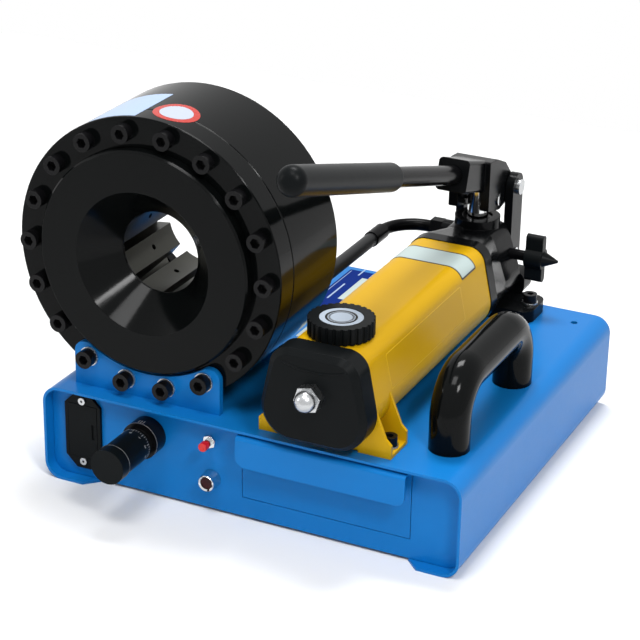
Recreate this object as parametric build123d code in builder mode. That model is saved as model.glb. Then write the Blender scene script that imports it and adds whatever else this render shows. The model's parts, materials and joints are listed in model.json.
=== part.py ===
from build123d import *
from math import atan2, cos, degrees, hypot, pi, radians, sin, sqrt, tan
import os

# Hand-operated hose crimping machine: crimp head, hand pump and sheet-metal base.
# Frame: millimetres, +Z up, +X to the operator's right, -Y towards the operator.
# The origin lies on the bench, under the middle of the machine.

os.makedirs("parts", exist_ok=True)

# ------------------------------------------------------------------ base cabinet
base_w = 397.0          # outside width
base_d = 371.0          # depth, front rim to back rim
base_h = 90.0           # bench to the top face
base_x = 15.5           # middle of the cabinet from the origin
base_front = -160.0     # front rim
sheet_t = 2.5           # shell sheet
bend_r = 16.0           # outside radius of the shell's bends
return_w = 50.0         # inward flanges that the machine stands on
return_cut = 12.0       # corner cuts of those flanges
panel_recess = 11.5     # front and rear panels sit back from the rims
panel_gap = 0.3         # panel edge to shell
spare_hole_r = 3.2      # accessory hole in the top

# ------------------------------------------------------------------ crimp head
head_inset = 95.0       # crimp axis from the cabinet's left side
head_x = base_x - base_w / 2 + head_inset
head_r = 126.0          # flange and barrel
head_clear = 0.5        # head above the cabinet
flange_t = 23.0         # front flange
head_len = 108.0        # flange face to the barrel's back
face_setback = 24.0     # flange face behind the front rim
nose_inset = 26.2       # rim to the raised disc round the funnel
nose_r = head_r - nose_inset
nose_proud = 10.5
nose_lip = 4.2          # shoulder that holds the nose disc behind the flange
nose_lip_r = nose_r + nose_lip
nose_lip_t = 12.0
nose_fit = 0.2
funnel_r = 63.9         # mouth of the funnel
throat_r = 36.7         # throat of the funnel
bolt_inset = 13.0       # 18 places, first at half a pitch from the top
bolt_pcd_r = head_r - bolt_inset
bolt_places = 18
bolt_hole_r = 5.25
bolt_head_r = 8.0
bolt_head_h = 9.0
bolt_shank_r = 4.9
bolt_hex = 8.0          # key size
bolt_grip = 16.0        # shank length in the barrel
bracket_t = 6.0         # welded plates that carry the head
bracket_w = 143.0
bracket_arc = 3.2       # gap from the bracket's arc to the nose disc
bracket_shoulder = 41.0 # height of the plate's shoulders above the cabinet
washer_t = 2.0
washer_r = 8.8

barrel_wall = 28.0      # round the front of the stepped cylinder
bore_step = 10.0
bore_front_r = head_r - barrel_wall
bore_rear_r = bore_front_r - bore_step
run_fit = 0.05          # radial running fit of the piston
step_back = 62.5        # cylinder step behind the flange face
rear_wall = 10.0
rear_hole_r = 54.0
piston_front = 48.5     # piston's front face at rest, behind the flange face
piston_tail = 47.5
piston_stroke = 23.0
cone_deg = 22.0         # slope of the eight wedge faces
seal_w = 4.0
seal_d = 3.5

die_count = 8
piston_wall = 18.0      # piston round the wedge faces where the dies begin
die_height = 42.0       # wedge face to the bore at the die's front
die_gap = 8.4           # between neighbours, fully open
die_back = 104.0        # die's rear face behind the flange face
die_turn = -5.8         # the set's turn from the upright, clockwise
die_apothem = bore_front_r - piston_wall  # outer wedge face at the die's front
die_bore_r = die_apothem - die_height     # fully open
die_play = 0.10         # wedge face to piston, square to the radius
die_side_play = 0.2     # die to nose disc
die_pin_r = 2.5         # hole for the die insert's pin
die_pin_at = 68.0       # that hole behind the flange face

# ------------------------------------------------------------------ hand pump
pump_gap = 47.0         # middle plane of the pump from the flange's edge
pump_x = head_x + head_r + pump_gap
tank_lift = 11.4        # underside of the tank above the cabinet
tank_z0 = base_h + tank_lift
tank_h = 78.0
tank_wb = 103.0         # width over the lower corners, before rounding
tank_wt = 68.6          # width of the top, before rounding
tank_rb = 26.0
tank_rt = 16.0
tank_wall = 3.0
tank_front = -166.0
tank_back = 108.0       # joint with the pump head
cap_wall = 3.0
cap_front = -174.0
cap_back = -149.5
cap_face_t = 6.0
cap_bevel = 5.0
rod_lift = 44.0         # tie rod above the tank's underside
nut_z = tank_z0 + rod_lift
nut_af = 21.0
nut_h = 9.0
dome_r = 9.3
rod_r = 6.0
foot_t = 3.0            # folded sheet foot under the tank
foot_front = -148.5
foot_d = 34.0
foot_w = 121.5
foot_bolt_x = 52.0
filler_y = -119.0
filler_r = 28.3
filler_h = 14.0
filler_neck_h = 5.0
filler_neck_r = 20.0
rib_count = 28

head_neck_y = 160.0     # front of the narrow neck
head_neck_back = 197.0
head_back = 216.0       # rear of the low body
neck_top = base_h + 83.4
neck_wt = 48.0
neck_wb = 98.0
low_top = base_h + 34.6  # top of the low rear body
boss_y = 182.0
boss_r = 21.5
boss_top = base_h + 91.6
gland_r = 14.0
gland_h = 8.0
plunger_r = 10.0
plunger_len = 92.0
ear_w = 132.0           # rear feet, tip to tip
ear_d = 46.0
ear_t = 12.0
ear_y = 182.0
ear_slot_x = 57.0
ear_slot_r = 4.5
ear_slot_len = 16.0

pivot_y = 211.0         # upper pivot of the lever
pivot_z = base_h + 115.4
link_len = 67.0
plug_side = 30.0        # relief plug beside the middle, on the rear face
plug_drop = 13.0        # that plug below the low body's top
link_t = 8.0
link_w = 26.0
pivot_pin_r = 5.0
pin_fit = 0.06
pin_arm = 29.0          # plunger axis in front of the pivot
arm_deg = 10.0          # pivot-to-plunger line below level at rest
plunger_pin_r = 4.0
pin_slot_play = 0.4
lever_deg = 17.05       # lever above level at rest
lever_up = 30.0         # swing above and below the rest position
lever_down = 10.0
lever_off = 7.3         # lever axis above the pivot
yoke_w = 40.0
yoke_gap = 22.4
socket_w = 30.0
socket_front = 104.0    # distances along the lever from the pivot
bar_r = 9.0
bar_start = 66.0
bar_end = 444.0
grip_r = 12.6
grip_start = 250.0
grip_end = 456.0

valve_y = 188.0
valve_z = base_h + 56.4
stem_r = 5.0
knob_x = pump_x + 49.0   # inner face of the wing knob
knob_span = 46.0
knob_w = 17.0
knob_t = 9.0

# ------------------------------------------------------------------ hose
hose_r = 6.5
hose_z = base_h + 69.4
hose_edge = 38.0        # hose port from the barrel's outside
hose_port_x = head_x + head_r - hose_edge
hose_port_y = 186.0
hose_bend = 34.0
hose_tube_r = 5.8

# ------------------------------------------------------------------ front panel fittings
drawer_w = 156.0
drawer_inset = 127.0    # middle of the drawer from the cabinet's right side
drawer_x = base_x + base_w / 2 - drawer_inset
drawer_z0 = 21.4
drawer_top_gap = 4.6    # drawer front to the cabinet's top face
drawer_h = base_h - drawer_z0 - drawer_top_gap
drawer_gap = 0.6
drawer_t = 1.5
tray_d = 160.0
tray_h = 40.0
drawer_travel = 120.0
lip_out = 14.5
lip_drop = 28.0
lip_r = 9.0
runner_gap = 0.4

cell_inset = 35.0       # battery box from the cabinet's left side
cell_x = base_x - base_w / 2 + cell_inset
cell_z = base_h - 41.6
cell_w = 36.0
cell_h = 73.0
cell_plate_t = 3.0
cell_open_w = 29.4
cell_open_h = 51.8
cell_depth = 24.0
cell_rivet = 29.5       # rivets above and below the middle
tray_play = 0.3

dial_x = head_x + 5.2   # stroke adjuster
dial_z = 60.0
dial_collar_r = 17.0
dial_collar_t = 16.0
dial_sleeve_r = 11.5
dial_r = 15.0
dial_spindle_r = 5.0
dial_front = 70.0       # front of the thimble ahead of the panel
dial_travel = 6.0

button_x = drawer_x - 109.4
button_z = 67.4
button_r = 4.0
button_travel = 2.5
lamp_x = drawer_x - 107.6
lamp_z = 32.0

# ------------------------------------------------------------------ carry handle
handle_inset = 34.4     # from the cabinet's right side
handle_x = base_x + base_w / 2 - handle_inset
handle_front = -106.0
handle_span = 144.6
handle_r = 17.5
handle_rise = 58.5
handle_bend = 32.0
handle_wall = 3.0

# ------------------------------------------------------------------ derived places
head_z = base_h + head_clear + head_r
face_y = base_front + face_setback
panel_y = base_front + panel_recess
base_back = base_front + base_d
base_left = base_x - base_w / 2
base_right = base_x + base_w / 2
inner_h = base_h - 2 * sheet_t
wedge = tan(radians(cone_deg))
die_stroke = piston_stroke * wedge
die_front = flange_t + die_side_play


def front(y):
    """Plane facing the operator: sketch x is X and sketch y is Z."""
    return Plane(origin=(0, y, 0), x_dir=(1, 0, 0), z_dir=(0, -1, 0))


def save(piece, name):
    """Label a finished piece and write it to its own file."""
    piece.part.label = name
    export_step(piece.part, f"parts/{name}.step")


def bolt_angles(low, high):
    """Bolt places between two angles, measured from the top, clockwise."""
    pitch = 360 / bolt_places
    every = [pitch / 2 + i * pitch for i in range(bolt_places)]
    return [a for a in every if low < a < high]


def on_circle(angle, radius):
    """Point on a circle round the crimp axis; angle from the top, clockwise."""
    return (head_x + radius * sin(radians(angle)), head_z + radius * cos(radians(angle)))


carried = bolt_angles(145, 215)
free = [a for a in bolt_angles(0, 360) if a not in carried]

# ================================================================== cabinet shell
with BuildPart() as base_shell:
    with BuildSketch(front(base_front)):
        with Locations((base_x, base_h / 2)):
            RectangleRounded(base_w, base_h, bend_r)
            RectangleRounded(base_w - 2 * sheet_t, inner_h, bend_r - sheet_t, mode=Mode.SUBTRACT)
        with Locations((base_x, 0)):
            Rectangle(base_w - 2 * return_w, 4 * sheet_t, mode=Mode.SUBTRACT)
    extrude(amount=-base_d)
    # the flanges' inboard corners are cut off at front and back
    with BuildSketch(Plane.XY):
        for sx in (-1, 1):
            for y0, sy in ((base_front, 1), (base_back, -1)):
                xi = base_x + sx * (base_w / 2 - return_w)
                with BuildLine():
                    Polyline(
                        (xi - sx, y0 - sy),
                        (xi + sx * return_cut, y0 - sy),
                        (xi + sx * return_cut, y0),
                        (xi, y0 + sy * return_cut),
                        (xi - sx, y0 + sy * return_cut),
                        close=True,
                    )
                make_face()
    extrude(amount=2 * sheet_t, mode=Mode.SUBTRACT)
    # holes in the top for the handle, the pump and an accessory
    with BuildSketch(Plane.XY.offset(base_h)):
        with Locations(
            (handle_x, handle_front),
            (handle_x, handle_front + handle_span),
            (pump_x - foot_bolt_x, foot_front + foot_d / 2),
            (pump_x + foot_bolt_x, foot_front + foot_d / 2),
            (pump_x - ear_slot_x, ear_y),
            (pump_x + ear_slot_x, ear_y),
        ):
            Circle(4.3)
        with Locations((base_right - 28.0, base_back - 26.0)):
            Circle(spare_hole_r)
    extrude(amount=-2 * sheet_t, mode=Mode.SUBTRACT)
save(base_shell, "base_shell")

# ================================================================== front panel
panel_w = base_w - 2 * sheet_t - 2 * panel_gap
panel_h = inner_h - 2 * panel_gap
with BuildPart() as front_panel:
    with BuildSketch(front(panel_y)):
        with Locations((base_x, base_h / 2)):
            RectangleRounded(panel_w, panel_h, bend_r - sheet_t - panel_gap)
        with Locations((drawer_x, drawer_z0 + drawer_h / 2)):
            Rectangle(drawer_w + 2 * drawer_gap, drawer_h + 2 * drawer_gap, mode=Mode.SUBTRACT)
        with Locations((cell_x, cell_z)):
            Rectangle(cell_open_w + 4.0, cell_open_h + 2.6, mode=Mode.SUBTRACT)
        with Locations((cell_x, cell_z - cell_rivet), (cell_x, cell_z + cell_rivet)):
            Circle(1.7, mode=Mode.SUBTRACT)
        with Locations((dial_x, dial_z)):
            Circle(9.2, mode=Mode.SUBTRACT)
        with Locations((button_x, button_z)):
            Circle(3.6, mode=Mode.SUBTRACT)
        with Locations((lamp_x, lamp_z)):
            Circle(5.2, mode=Mode.SUBTRACT)
    extrude(amount=-sheet_t)
save(front_panel, "front_panel")

with BuildPart() as rear_panel:
    with BuildSketch(front(base_back - panel_recess)):
        with Locations((base_x, base_h / 2)):
            RectangleRounded(panel_w, panel_h, bend_r - sheet_t - panel_gap)
        # vent slots
        with GridLocations(0, 12.0, 1, 3):
            with Locations((base_x, base_h / 2)):
                SlotOverall(90.0, 4.0, mode=Mode.SUBTRACT)
    extrude(amount=sheet_t)
save(rear_panel, "rear_panel")

# ================================================================== head brackets
arc_r = nose_r + bracket_arc
for name, y0, hole in (
    ("head_bracket_front", face_y - bracket_t, bolt_hole_r),
    ("head_bracket_rear", face_y + head_len, bolt_hole_r),
):
    with BuildPart() as bracket:
        with BuildSketch(front(y0)) as outline:
            with Locations((head_x, base_h + bracket_shoulder / 2)):
                Rectangle(bracket_w, bracket_shoulder)
            fillet(outline.vertices().group_by(Axis.Y)[-1], 10.0)
            with Locations((head_x, head_z)):
                Circle(arc_r, mode=Mode.SUBTRACT)
            with Locations(*[on_circle(a, bolt_pcd_r) for a in carried]):
                Circle(hole, mode=Mode.SUBTRACT)
        extrude(amount=-bracket_t)
    save(bracket, name)

# ================================================================== front flange
with BuildPart() as front_flange:
    with BuildSketch(front(face_y)):
        with Locations((head_x, head_z)):
            Circle(head_r)
            Circle(nose_r + nose_fit, mode=Mode.SUBTRACT)
    extrude(amount=-flange_t)
    with BuildSketch(front(face_y + flange_t)):
        with Locations((head_x, head_z)):
            Circle(nose_lip_r + nose_fit)
    extrude(amount=nose_lip_t, mode=Mode.SUBTRACT)
    with BuildSketch(front(face_y)):
        with Locations(*[on_circle(a, bolt_pcd_r) for a in bolt_angles(0, 360)]):
            Circle(bolt_hole_r)
    extrude(amount=-flange_t, mode=Mode.SUBTRACT)
    rim = front_flange.edges().filter_by(GeomType.CIRCLE)
    chamfer(rim.filter_by(lambda e: abs(e.radius - head_r) < 0.01), 0.8)
save(front_flange, "front_flange")

# ================================================================== nose disc with the funnel
with BuildPart() as nose_disc:
    with BuildSketch(Plane(origin=(head_x, face_y, head_z), x_dir=(1, 0, 0), z_dir=(0, 0, 1))):
        with BuildLine():
            Polyline(
                (funnel_r, -nose_proud),
                (nose_r - 1.6, -nose_proud),
                (nose_r, -nose_proud + 1.6),
                (nose_r, flange_t - nose_lip_t + 0.2),
                (nose_lip_r, flange_t - nose_lip_t + 0.2),
                (nose_lip_r, flange_t),
                (throat_r, flange_t),
                (throat_r, flange_t - 2.0),
                close=True,
            )
        make_face()
    revolve(axis=Axis((head_x, 0, head_z), (0, 1, 0)))
save(nose_disc, "nose_disc")

# ================================================================== barrel with the stepped cylinder
port_dx = hose_port_x - head_x
port_dz = hose_z - head_z
with BuildPart() as head_barrel:
    with BuildSketch(Plane(origin=(head_x, face_y, head_z), x_dir=(1, 0, 0), z_dir=(0, 0, 1))):
        with BuildLine():
            Polyline(
                (bore_front_r, flange_t + 0.2),
                (head_r - 0.8, flange_t + 0.2),
                (head_r, flange_t + 1.0),
                (head_r, head_len - 1.5),
                (head_r - 1.5, head_len),
                (rear_hole_r, head_len),
                (rear_hole_r, head_len - rear_wall),
                (bore_rear_r, head_len - rear_wall),
                (bore_rear_r, step_back),
                (bore_front_r, step_back),
                close=True,
            )
        make_face()
    revolve(axis=Axis((head_x, 0, head_z), (0, 1, 0)))
    # tapped holes for the flange bolts, four of them right through for the rear bracket
    with BuildSketch(front(face_y + flange_t)):
        with Locations(*[on_circle(a, bolt_pcd_r) for a in bolt_angles(0, 360)]):
            Circle(bolt_shank_r)
    extrude(amount=-bolt_grip - 2.0, mode=Mode.SUBTRACT)
    with BuildSketch(front(face_y + head_len)):
        with Locations(*[on_circle(a, bolt_pcd_r) for a in carried]):
            Circle(bolt_shank_r)
    extrude(amount=bolt_grip + 2.0, mode=Mode.SUBTRACT)
    # oil way: in at the back, then across to the cylinder step
    with BuildSketch(front(face_y + head_len)):
        with Locations((hose_port_x, hose_z)):
            Circle(6.0)
    extrude(amount=16.0, mode=Mode.SUBTRACT)
    with BuildSketch(front(face_y + head_len - 16.0)):
        with Locations((hose_port_x, hose_z)):
            Circle(3.0)
    extrude(amount=head_len - 16.0 - step_back - 6.0, mode=Mode.SUBTRACT)
save(head_barrel, "head_barrel")

# ================================================================== annular piston with the wedge faces
tail_end = piston_front + piston_tail


def wedge_at(depth):
    """Distance of the dies' wedge faces from the crimp axis at a depth behind the face."""
    return die_apothem - wedge * (depth - die_front)


with BuildPart() as piston:
    with BuildSketch(Plane(origin=(head_x, face_y, head_z), x_dir=(1, 0, 0), z_dir=(0, 0, 1))):
        with BuildLine():
            Polyline(
                (0, piston_front),
                (bore_front_r - run_fit, piston_front),
                (bore_front_r - run_fit, step_back - 1.0),
                (bore_rear_r - run_fit, step_back - 1.0),
                (bore_rear_r - run_fit, tail_end),
                (0, tail_end),
                close=True,
            )
        make_face()
    revolve(axis=Axis((head_x, 0, head_z), (0, 1, 0)))
    for depth in (step_back - 10.0, step_back + 4.0):
        big = bore_front_r if depth < step_back else bore_rear_r
        with BuildSketch(front(face_y + depth)):
            with Locations((head_x, head_z)):
                Circle(big + 1.0)
                Circle(big - seal_d, mode=Mode.SUBTRACT)
        extrude(amount=-seal_w, mode=Mode.SUBTRACT)
    # eight sloping faces, one for each die
    for depth in (piston_front, tail_end):
        across = wedge_at(depth) + die_play
        with BuildSketch(front(face_y + depth)):
            with Locations((head_x, head_z)):
                RegularPolygon(across, die_count, major_radius=False, rotation=-die_turn)
    loft(mode=Mode.SUBTRACT)
save(piston, "piston")

with BuildPart() as piston_seals:
    for depth in (step_back - 10.0, step_back + 4.0):
        big = bore_front_r if depth < step_back else bore_rear_r
        with BuildSketch(front(face_y + depth + 0.1)):
            with Locations((head_x, head_z)):
                Circle(big - run_fit)
                Circle(big - seal_d, mode=Mode.SUBTRACT)
        extrude(amount=0.2 - seal_w)
save(piston_seals, "piston_seals")

# ================================================================== eight master dies
half = 180 / die_count
for i in range(die_count):
    turn = half + i * 360 / die_count + die_turn
    out = (sin(radians(turn)), 0, cos(radians(turn)))
    side = (cos(radians(turn)), 0, -sin(radians(turn)))
    with BuildPart() as die:
        for depth in (die_front, die_back):
            outer = wedge_at(depth)
            inner = die_bore_r * 0.8
            edge = die_gap / 2 / cos(radians(half))
            plane = Plane(
                origin=(head_x, face_y + depth, head_z), x_dir=side, z_dir=(0, -1, 0)
            )
            with BuildSketch(plane):
                with BuildLine():
                    Polyline(
                        (inner * tan(radians(half)) - edge, inner),
                        (outer * tan(radians(half)) - edge, outer),
                        (edge - outer * tan(radians(half)), outer),
                        (edge - inner * tan(radians(half)), inner),
                        close=True,
                    )
                make_face()
        loft()
        with BuildSketch(front(face_y + die_front)):
            with Locations((head_x, head_z)):
                Circle(die_bore_r)
        extrude(amount=-die_back, mode=Mode.SUBTRACT)
        # hole for the pin of a die insert
        pin_y = face_y + die_pin_at
        with BuildSketch(Plane(origin=(head_x, pin_y, head_z), x_dir=side, z_dir=out)):
            Circle(die_pin_r)
        extrude(amount=die_bore_r + 12.0, mode=Mode.SUBTRACT)
    save(die, f"die_{i + 1}")

# ================================================================== head fasteners
with BuildPart() as flange_bolts:
    for a in free:
        with BuildSketch(front(face_y)):
            with Locations(on_circle(a, bolt_pcd_r)):
                Circle(bolt_head_r)
        extrude(amount=bolt_head_h)
        with BuildSketch(front(face_y)):
            with Locations(on_circle(a, bolt_pcd_r)):
                Circle(bolt_shank_r)
        extrude(amount=-flange_t - bolt_grip)
        with BuildSketch(front(face_y - bolt_head_h)):
            with Locations(on_circle(a, bolt_pcd_r)):
                RegularPolygon(bolt_hex / 2, 6, major_radius=False)
        extrude(amount=-bolt_head_h * 0.6, mode=Mode.SUBTRACT)
save(flange_bolts, "flange_bolts")

under = bracket_t + washer_t
with BuildPart() as bracket_bolts:
    for a in carried:
        for y0, way, depth in (
            (face_y - under, 1, under + flange_t + bolt_grip),
            (face_y + head_len + under, -1, under + bolt_grip),
        ):
            with BuildSketch(front(y0)):
                with Locations(on_circle(a, bolt_pcd_r)):
                    Circle(bolt_head_r)
            extrude(amount=way * bolt_head_h)
            with BuildSketch(front(y0)):
                with Locations(on_circle(a, bolt_pcd_r)):
                    Circle(bolt_shank_r)
            extrude(amount=-way * depth)
            with BuildSketch(front(y0 - way * bolt_head_h)):
                with Locations(on_circle(a, bolt_pcd_r)):
                    RegularPolygon(bolt_hex / 2, 6, major_radius=False)
            extrude(amount=-way * bolt_head_h * 0.6, mode=Mode.SUBTRACT)
save(bracket_bolts, "bracket_bolts")

ear_z = base_h + ear_t
foot_mid = foot_front + foot_d / 2
with BuildPart() as washers:
    for y0, way in ((face_y - bracket_t, 1), (face_y + head_len + bracket_t, -1)):
        with BuildSketch(front(y0)):
            with Locations(*[on_circle(a, bolt_pcd_r) for a in carried]):
                Circle(washer_r)
            with Locations(*[on_circle(a, bolt_pcd_r) for a in carried]):
                Circle(bolt_hole_r, mode=Mode.SUBTRACT)
        extrude(amount=way * washer_t)
    for sx in (-1, 1):
        for x, y, z in (
            (pump_x + sx * foot_bolt_x, foot_mid, base_h + foot_t),
            (pump_x + sx * ear_slot_x, ear_y, ear_z),
        ):
            with BuildSketch(Plane.XY.offset(z)):
                with Locations((x, y)):
                    Circle(7.6)
                    Circle(4.3, mode=Mode.SUBTRACT)
            extrude(amount=washer_t)
save(washers, "washers")

# ================================================================== carry handle
leg_front = handle_front
leg_back = handle_front + handle_span
top_z = base_h + handle_rise
with BuildPart() as carry_handle:
    with BuildLine() as path:
        FilletPolyline(
            (handle_x, leg_front, base_h),
            (handle_x, leg_front, top_z),
            (handle_x, leg_back, top_z),
            (handle_x, leg_back, base_h),
            radius=handle_bend,
        )
    with BuildSketch(Plane.XY.offset(base_h)):
        with Locations((handle_x, leg_front)):
            Circle(handle_r)
            Circle(handle_r - handle_wall, mode=Mode.SUBTRACT)
    sweep()
    # threaded plugs close the legs
    with BuildSketch(Plane.XY.offset(base_h)):
        with Locations((handle_x, leg_front), (handle_x, leg_back)):
            Circle(handle_r - handle_wall / 2)
    extrude(amount=14.0)
    with BuildSketch(Plane.XY.offset(base_h)):
        with Locations((handle_x, leg_front), (handle_x, leg_back)):
            Circle(3.9)
    extrude(amount=12.0, mode=Mode.SUBTRACT)
save(carry_handle, "carry_handle")

with BuildPart() as handle_bolts:
    with BuildSketch(Plane.XY.offset(base_h - sheet_t)):
        with Locations((handle_x, leg_front), (handle_x, leg_back)):
            RegularPolygon(6.5, 6, major_radius=False)
    extrude(amount=-5.5)
    with BuildSketch(Plane.XY.offset(base_h - sheet_t - 1.0)):
        with Locations((handle_x, leg_front), (handle_x, leg_back)):
            Circle(3.9)
    extrude(amount=sheet_t + 1.0 + 10.0)
save(handle_bolts, "handle_bolts")

# ================================================================== pump tank and its closures
def trapezoid(z0, height, bottom, top, r_low, r_high, grow=0.0):
    """Rounded trapezoid centred on the pump, as a flat sketch."""
    with BuildSketch() as outline:
        with BuildLine():
            Polyline(
                (pump_x - bottom / 2 - grow, z0 - grow),
                (pump_x + bottom / 2 + grow, z0 - grow),
                (pump_x + top / 2 + grow, z0 + height + grow),
                (pump_x - top / 2 - grow, z0 + height + grow),
                close=True,
            )
        make_face()
        fillet(outline.vertices().group_by(Axis.Y)[0], r_low + grow)
        fillet(outline.vertices().group_by(Axis.Y)[-1], r_high + grow)
    return outline.sketch


def tank_outline(grow=0.0):
    """Tank section, larger or smaller by grow."""
    return trapezoid(tank_z0, tank_h, tank_wb, tank_wt, tank_rb, tank_rt, grow)


tank_outer = tank_outline()
tank_inner = tank_outline(-tank_wall)
tank_top = tank_z0 + tank_h
with BuildPart() as pump_tank:
    with BuildSketch(front(tank_front)):
        add(tank_outer)
        add(tank_inner, mode=Mode.SUBTRACT)
    extrude(amount=tank_front - tank_back)
    # filler neck
    with BuildSketch(Plane.XY.offset(tank_top - tank_wall)):
        with Locations((pump_x, filler_y)):
            Circle(filler_neck_r)
    extrude(amount=tank_wall + filler_neck_h)
    with BuildSketch(Plane.XY.offset(tank_top - tank_wall)):
        with Locations((pump_x, filler_y)):
            Circle(filler_neck_r - 4.0)
    extrude(amount=tank_wall + filler_neck_h, mode=Mode.SUBTRACT)
save(pump_tank, "pump_tank")

cap_outer = tank_outline(cap_wall)
cap_nose = tank_outline(cap_wall - cap_bevel)
cap_pocket = tank_outline(0.1)
with BuildPart() as pump_front_cap:
    with BuildSketch(front(cap_front + cap_bevel)):
        add(cap_outer)
    extrude(amount=cap_front + cap_bevel - cap_back)
    with BuildSketch(front(cap_front)):
        add(cap_nose)
    with BuildSketch(front(cap_front + cap_bevel)):
        add(cap_outer)
    loft()
    with BuildSketch(front(cap_front + cap_face_t)):
        add(cap_pocket)
    extrude(amount=cap_front + cap_face_t - cap_back, mode=Mode.SUBTRACT)
    with BuildSketch(front(cap_front)):
        with Locations((pump_x, nut_z)):
            Circle(rod_r + 0.2)
    extrude(amount=-cap_face_t, mode=Mode.SUBTRACT)
save(pump_front_cap, "pump_front_cap")

with BuildPart() as cap_nut:
    with BuildSketch(front(cap_front)):
        with Locations((pump_x, nut_z)):
            RegularPolygon(nut_af / 2, 6, major_radius=False, rotation=12)
    extrude(amount=nut_h)
    with BuildSketch(front(cap_front - nut_h)):
        with Locations((pump_x, nut_z)):
            Circle(dome_r)
    extrude(amount=2.0)
    with BuildSketch(Plane(origin=(pump_x, cap_front - nut_h - 2.0, nut_z), x_dir=(1, 0, 0))):
        with BuildLine():
            Polyline((0, 0), (0, -dome_r), (0, 0))
            ThreePointArc((0, -dome_r), (dome_r * sin(pi / 4), -dome_r * cos(pi / 4)), (dome_r, 0))
            Line((dome_r, 0), (0, 0))
        make_face()
    revolve(axis=Axis((pump_x, 0, nut_z), (0, 1, 0)))
    with BuildSketch(front(cap_front)):
        with Locations((pump_x, nut_z)):
            Circle(rod_r)
    extrude(amount=nut_h + 1.0, mode=Mode.SUBTRACT)
save(cap_nut, "cap_nut")

with BuildPart() as tie_rod:
    with BuildSketch(front(cap_front - nut_h)):
        with Locations((pump_x, nut_z)):
            Circle(rod_r)
    extrude(amount=cap_front - nut_h - tank_back - 14.0)
save(tie_rod, "tie_rod")

# ================================================================== sheet foot under the tank
saddle = tank_outline(0.1)
with BuildPart() as tank_foot:
    with BuildSketch(front(foot_front)) as cheek:
        with BuildLine():
            Polyline(
                (pump_x - foot_w / 2, base_h),
                (pump_x + foot_w / 2, base_h),
                (pump_x + foot_w / 2, base_h + 12.0),
                (pump_x + foot_w / 2 - 5.0, base_h + 17.0),
                (pump_x + tank_wb / 2 - 7.0, base_h + 44.0),
                (pump_x - tank_wb / 2 + 7.0, base_h + 44.0),
                (pump_x - foot_w / 2 + 5.0, base_h + 17.0),
                (pump_x - foot_w / 2, base_h + 12.0),
                close=True,
            )
        make_face()
    extrude(amount=-foot_d)
    # the cheeks stand at the front and at the back of a flat sole
    with BuildSketch(front(foot_front + foot_t)):
        with Locations((pump_x, base_h + foot_t + 30.0)):
            Rectangle(foot_w + 2.0, 60.0)
    extrude(amount=2 * foot_t - foot_d, mode=Mode.SUBTRACT)
    with BuildSketch(front(foot_front)):
        add(saddle)
    extrude(amount=-foot_d, mode=Mode.SUBTRACT)
    with BuildSketch(Plane.XY.offset(base_h)):
        with Locations((pump_x - foot_bolt_x, foot_mid), (pump_x + foot_bolt_x, foot_mid)):
            Circle(4.3)
    extrude(amount=foot_t, mode=Mode.SUBTRACT)
    # notch under the cap
    with BuildSketch(front(foot_front)):
        with Locations((pump_x, base_h)):
            Rectangle(62.0, 5.0)
    extrude(amount=-foot_t, mode=Mode.SUBTRACT)
save(tank_foot, "tank_foot")

with BuildPart() as pump_bolts:
    for sx in (-1, 1):
        for x, y, z in (
            (pump_x + sx * foot_bolt_x, foot_mid, base_h + foot_t + washer_t),
            (pump_x + sx * ear_slot_x, ear_y, ear_z + washer_t),
        ):
            with BuildSketch(Plane.XY.offset(z)):
                with Locations((x, y)):
                    Circle(6.5)
            extrude(amount=8.0)
            with BuildSketch(Plane.XY.offset(z)):
                with Locations((x, y)):
                    Circle(3.9)
            extrude(amount=base_h - sheet_t - z - 8.0)
            with BuildSketch(Plane.XY.offset(z + 8.0)):
                with Locations((x, y)):
                    RegularPolygon(3.0, 6, major_radius=False)
            extrude(amount=-4.5, mode=Mode.SUBTRACT)
            # nut below the top sheet
            with BuildSketch(Plane.XY.offset(base_h - sheet_t)):
                with Locations((x, y)):
                    RegularPolygon(6.5, 6, major_radius=False)
            extrude(amount=-6.5)
save(pump_bolts, "pump_bolts")

# ================================================================== filler cap
neck_top_z = tank_top + filler_neck_h
cap_z0 = tank_top + 1.0
with BuildPart() as filler_cap:
    with BuildSketch(Plane.XY.offset(cap_z0)):
        with Locations((pump_x, filler_y)):
            Circle(filler_r)
        with Locations((pump_x, filler_y)):
            with PolarLocations(filler_r, rib_count):
                Circle(1.5, mode=Mode.SUBTRACT)
    extrude(amount=filler_h)
    with BuildSketch(Plane.XY.offset(cap_z0)):
        with Locations((pump_x, filler_y)):
            Circle(filler_neck_r + 0.4)
            Circle(filler_neck_r - 4.4, mode=Mode.SUBTRACT)
    extrude(amount=filler_neck_h - 1.0 + 0.2, mode=Mode.SUBTRACT)
    # dish for the inlaid disc
    with BuildSketch(Plane.XY.offset(cap_z0 + filler_h)):
        with Locations((pump_x, filler_y)):
            Circle(18.6)
    extrude(amount=-1.2, mode=Mode.SUBTRACT)
save(filler_cap, "filler_cap")

with BuildPart() as filler_cap_disc:
    with BuildSketch(Plane.XY.offset(cap_z0 + filler_h - 1.2)):
        with Locations((pump_x, filler_y)):
            Circle(18.4)
    extrude(amount=0.8)
save(filler_cap_disc, "filler_cap_disc")

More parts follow.
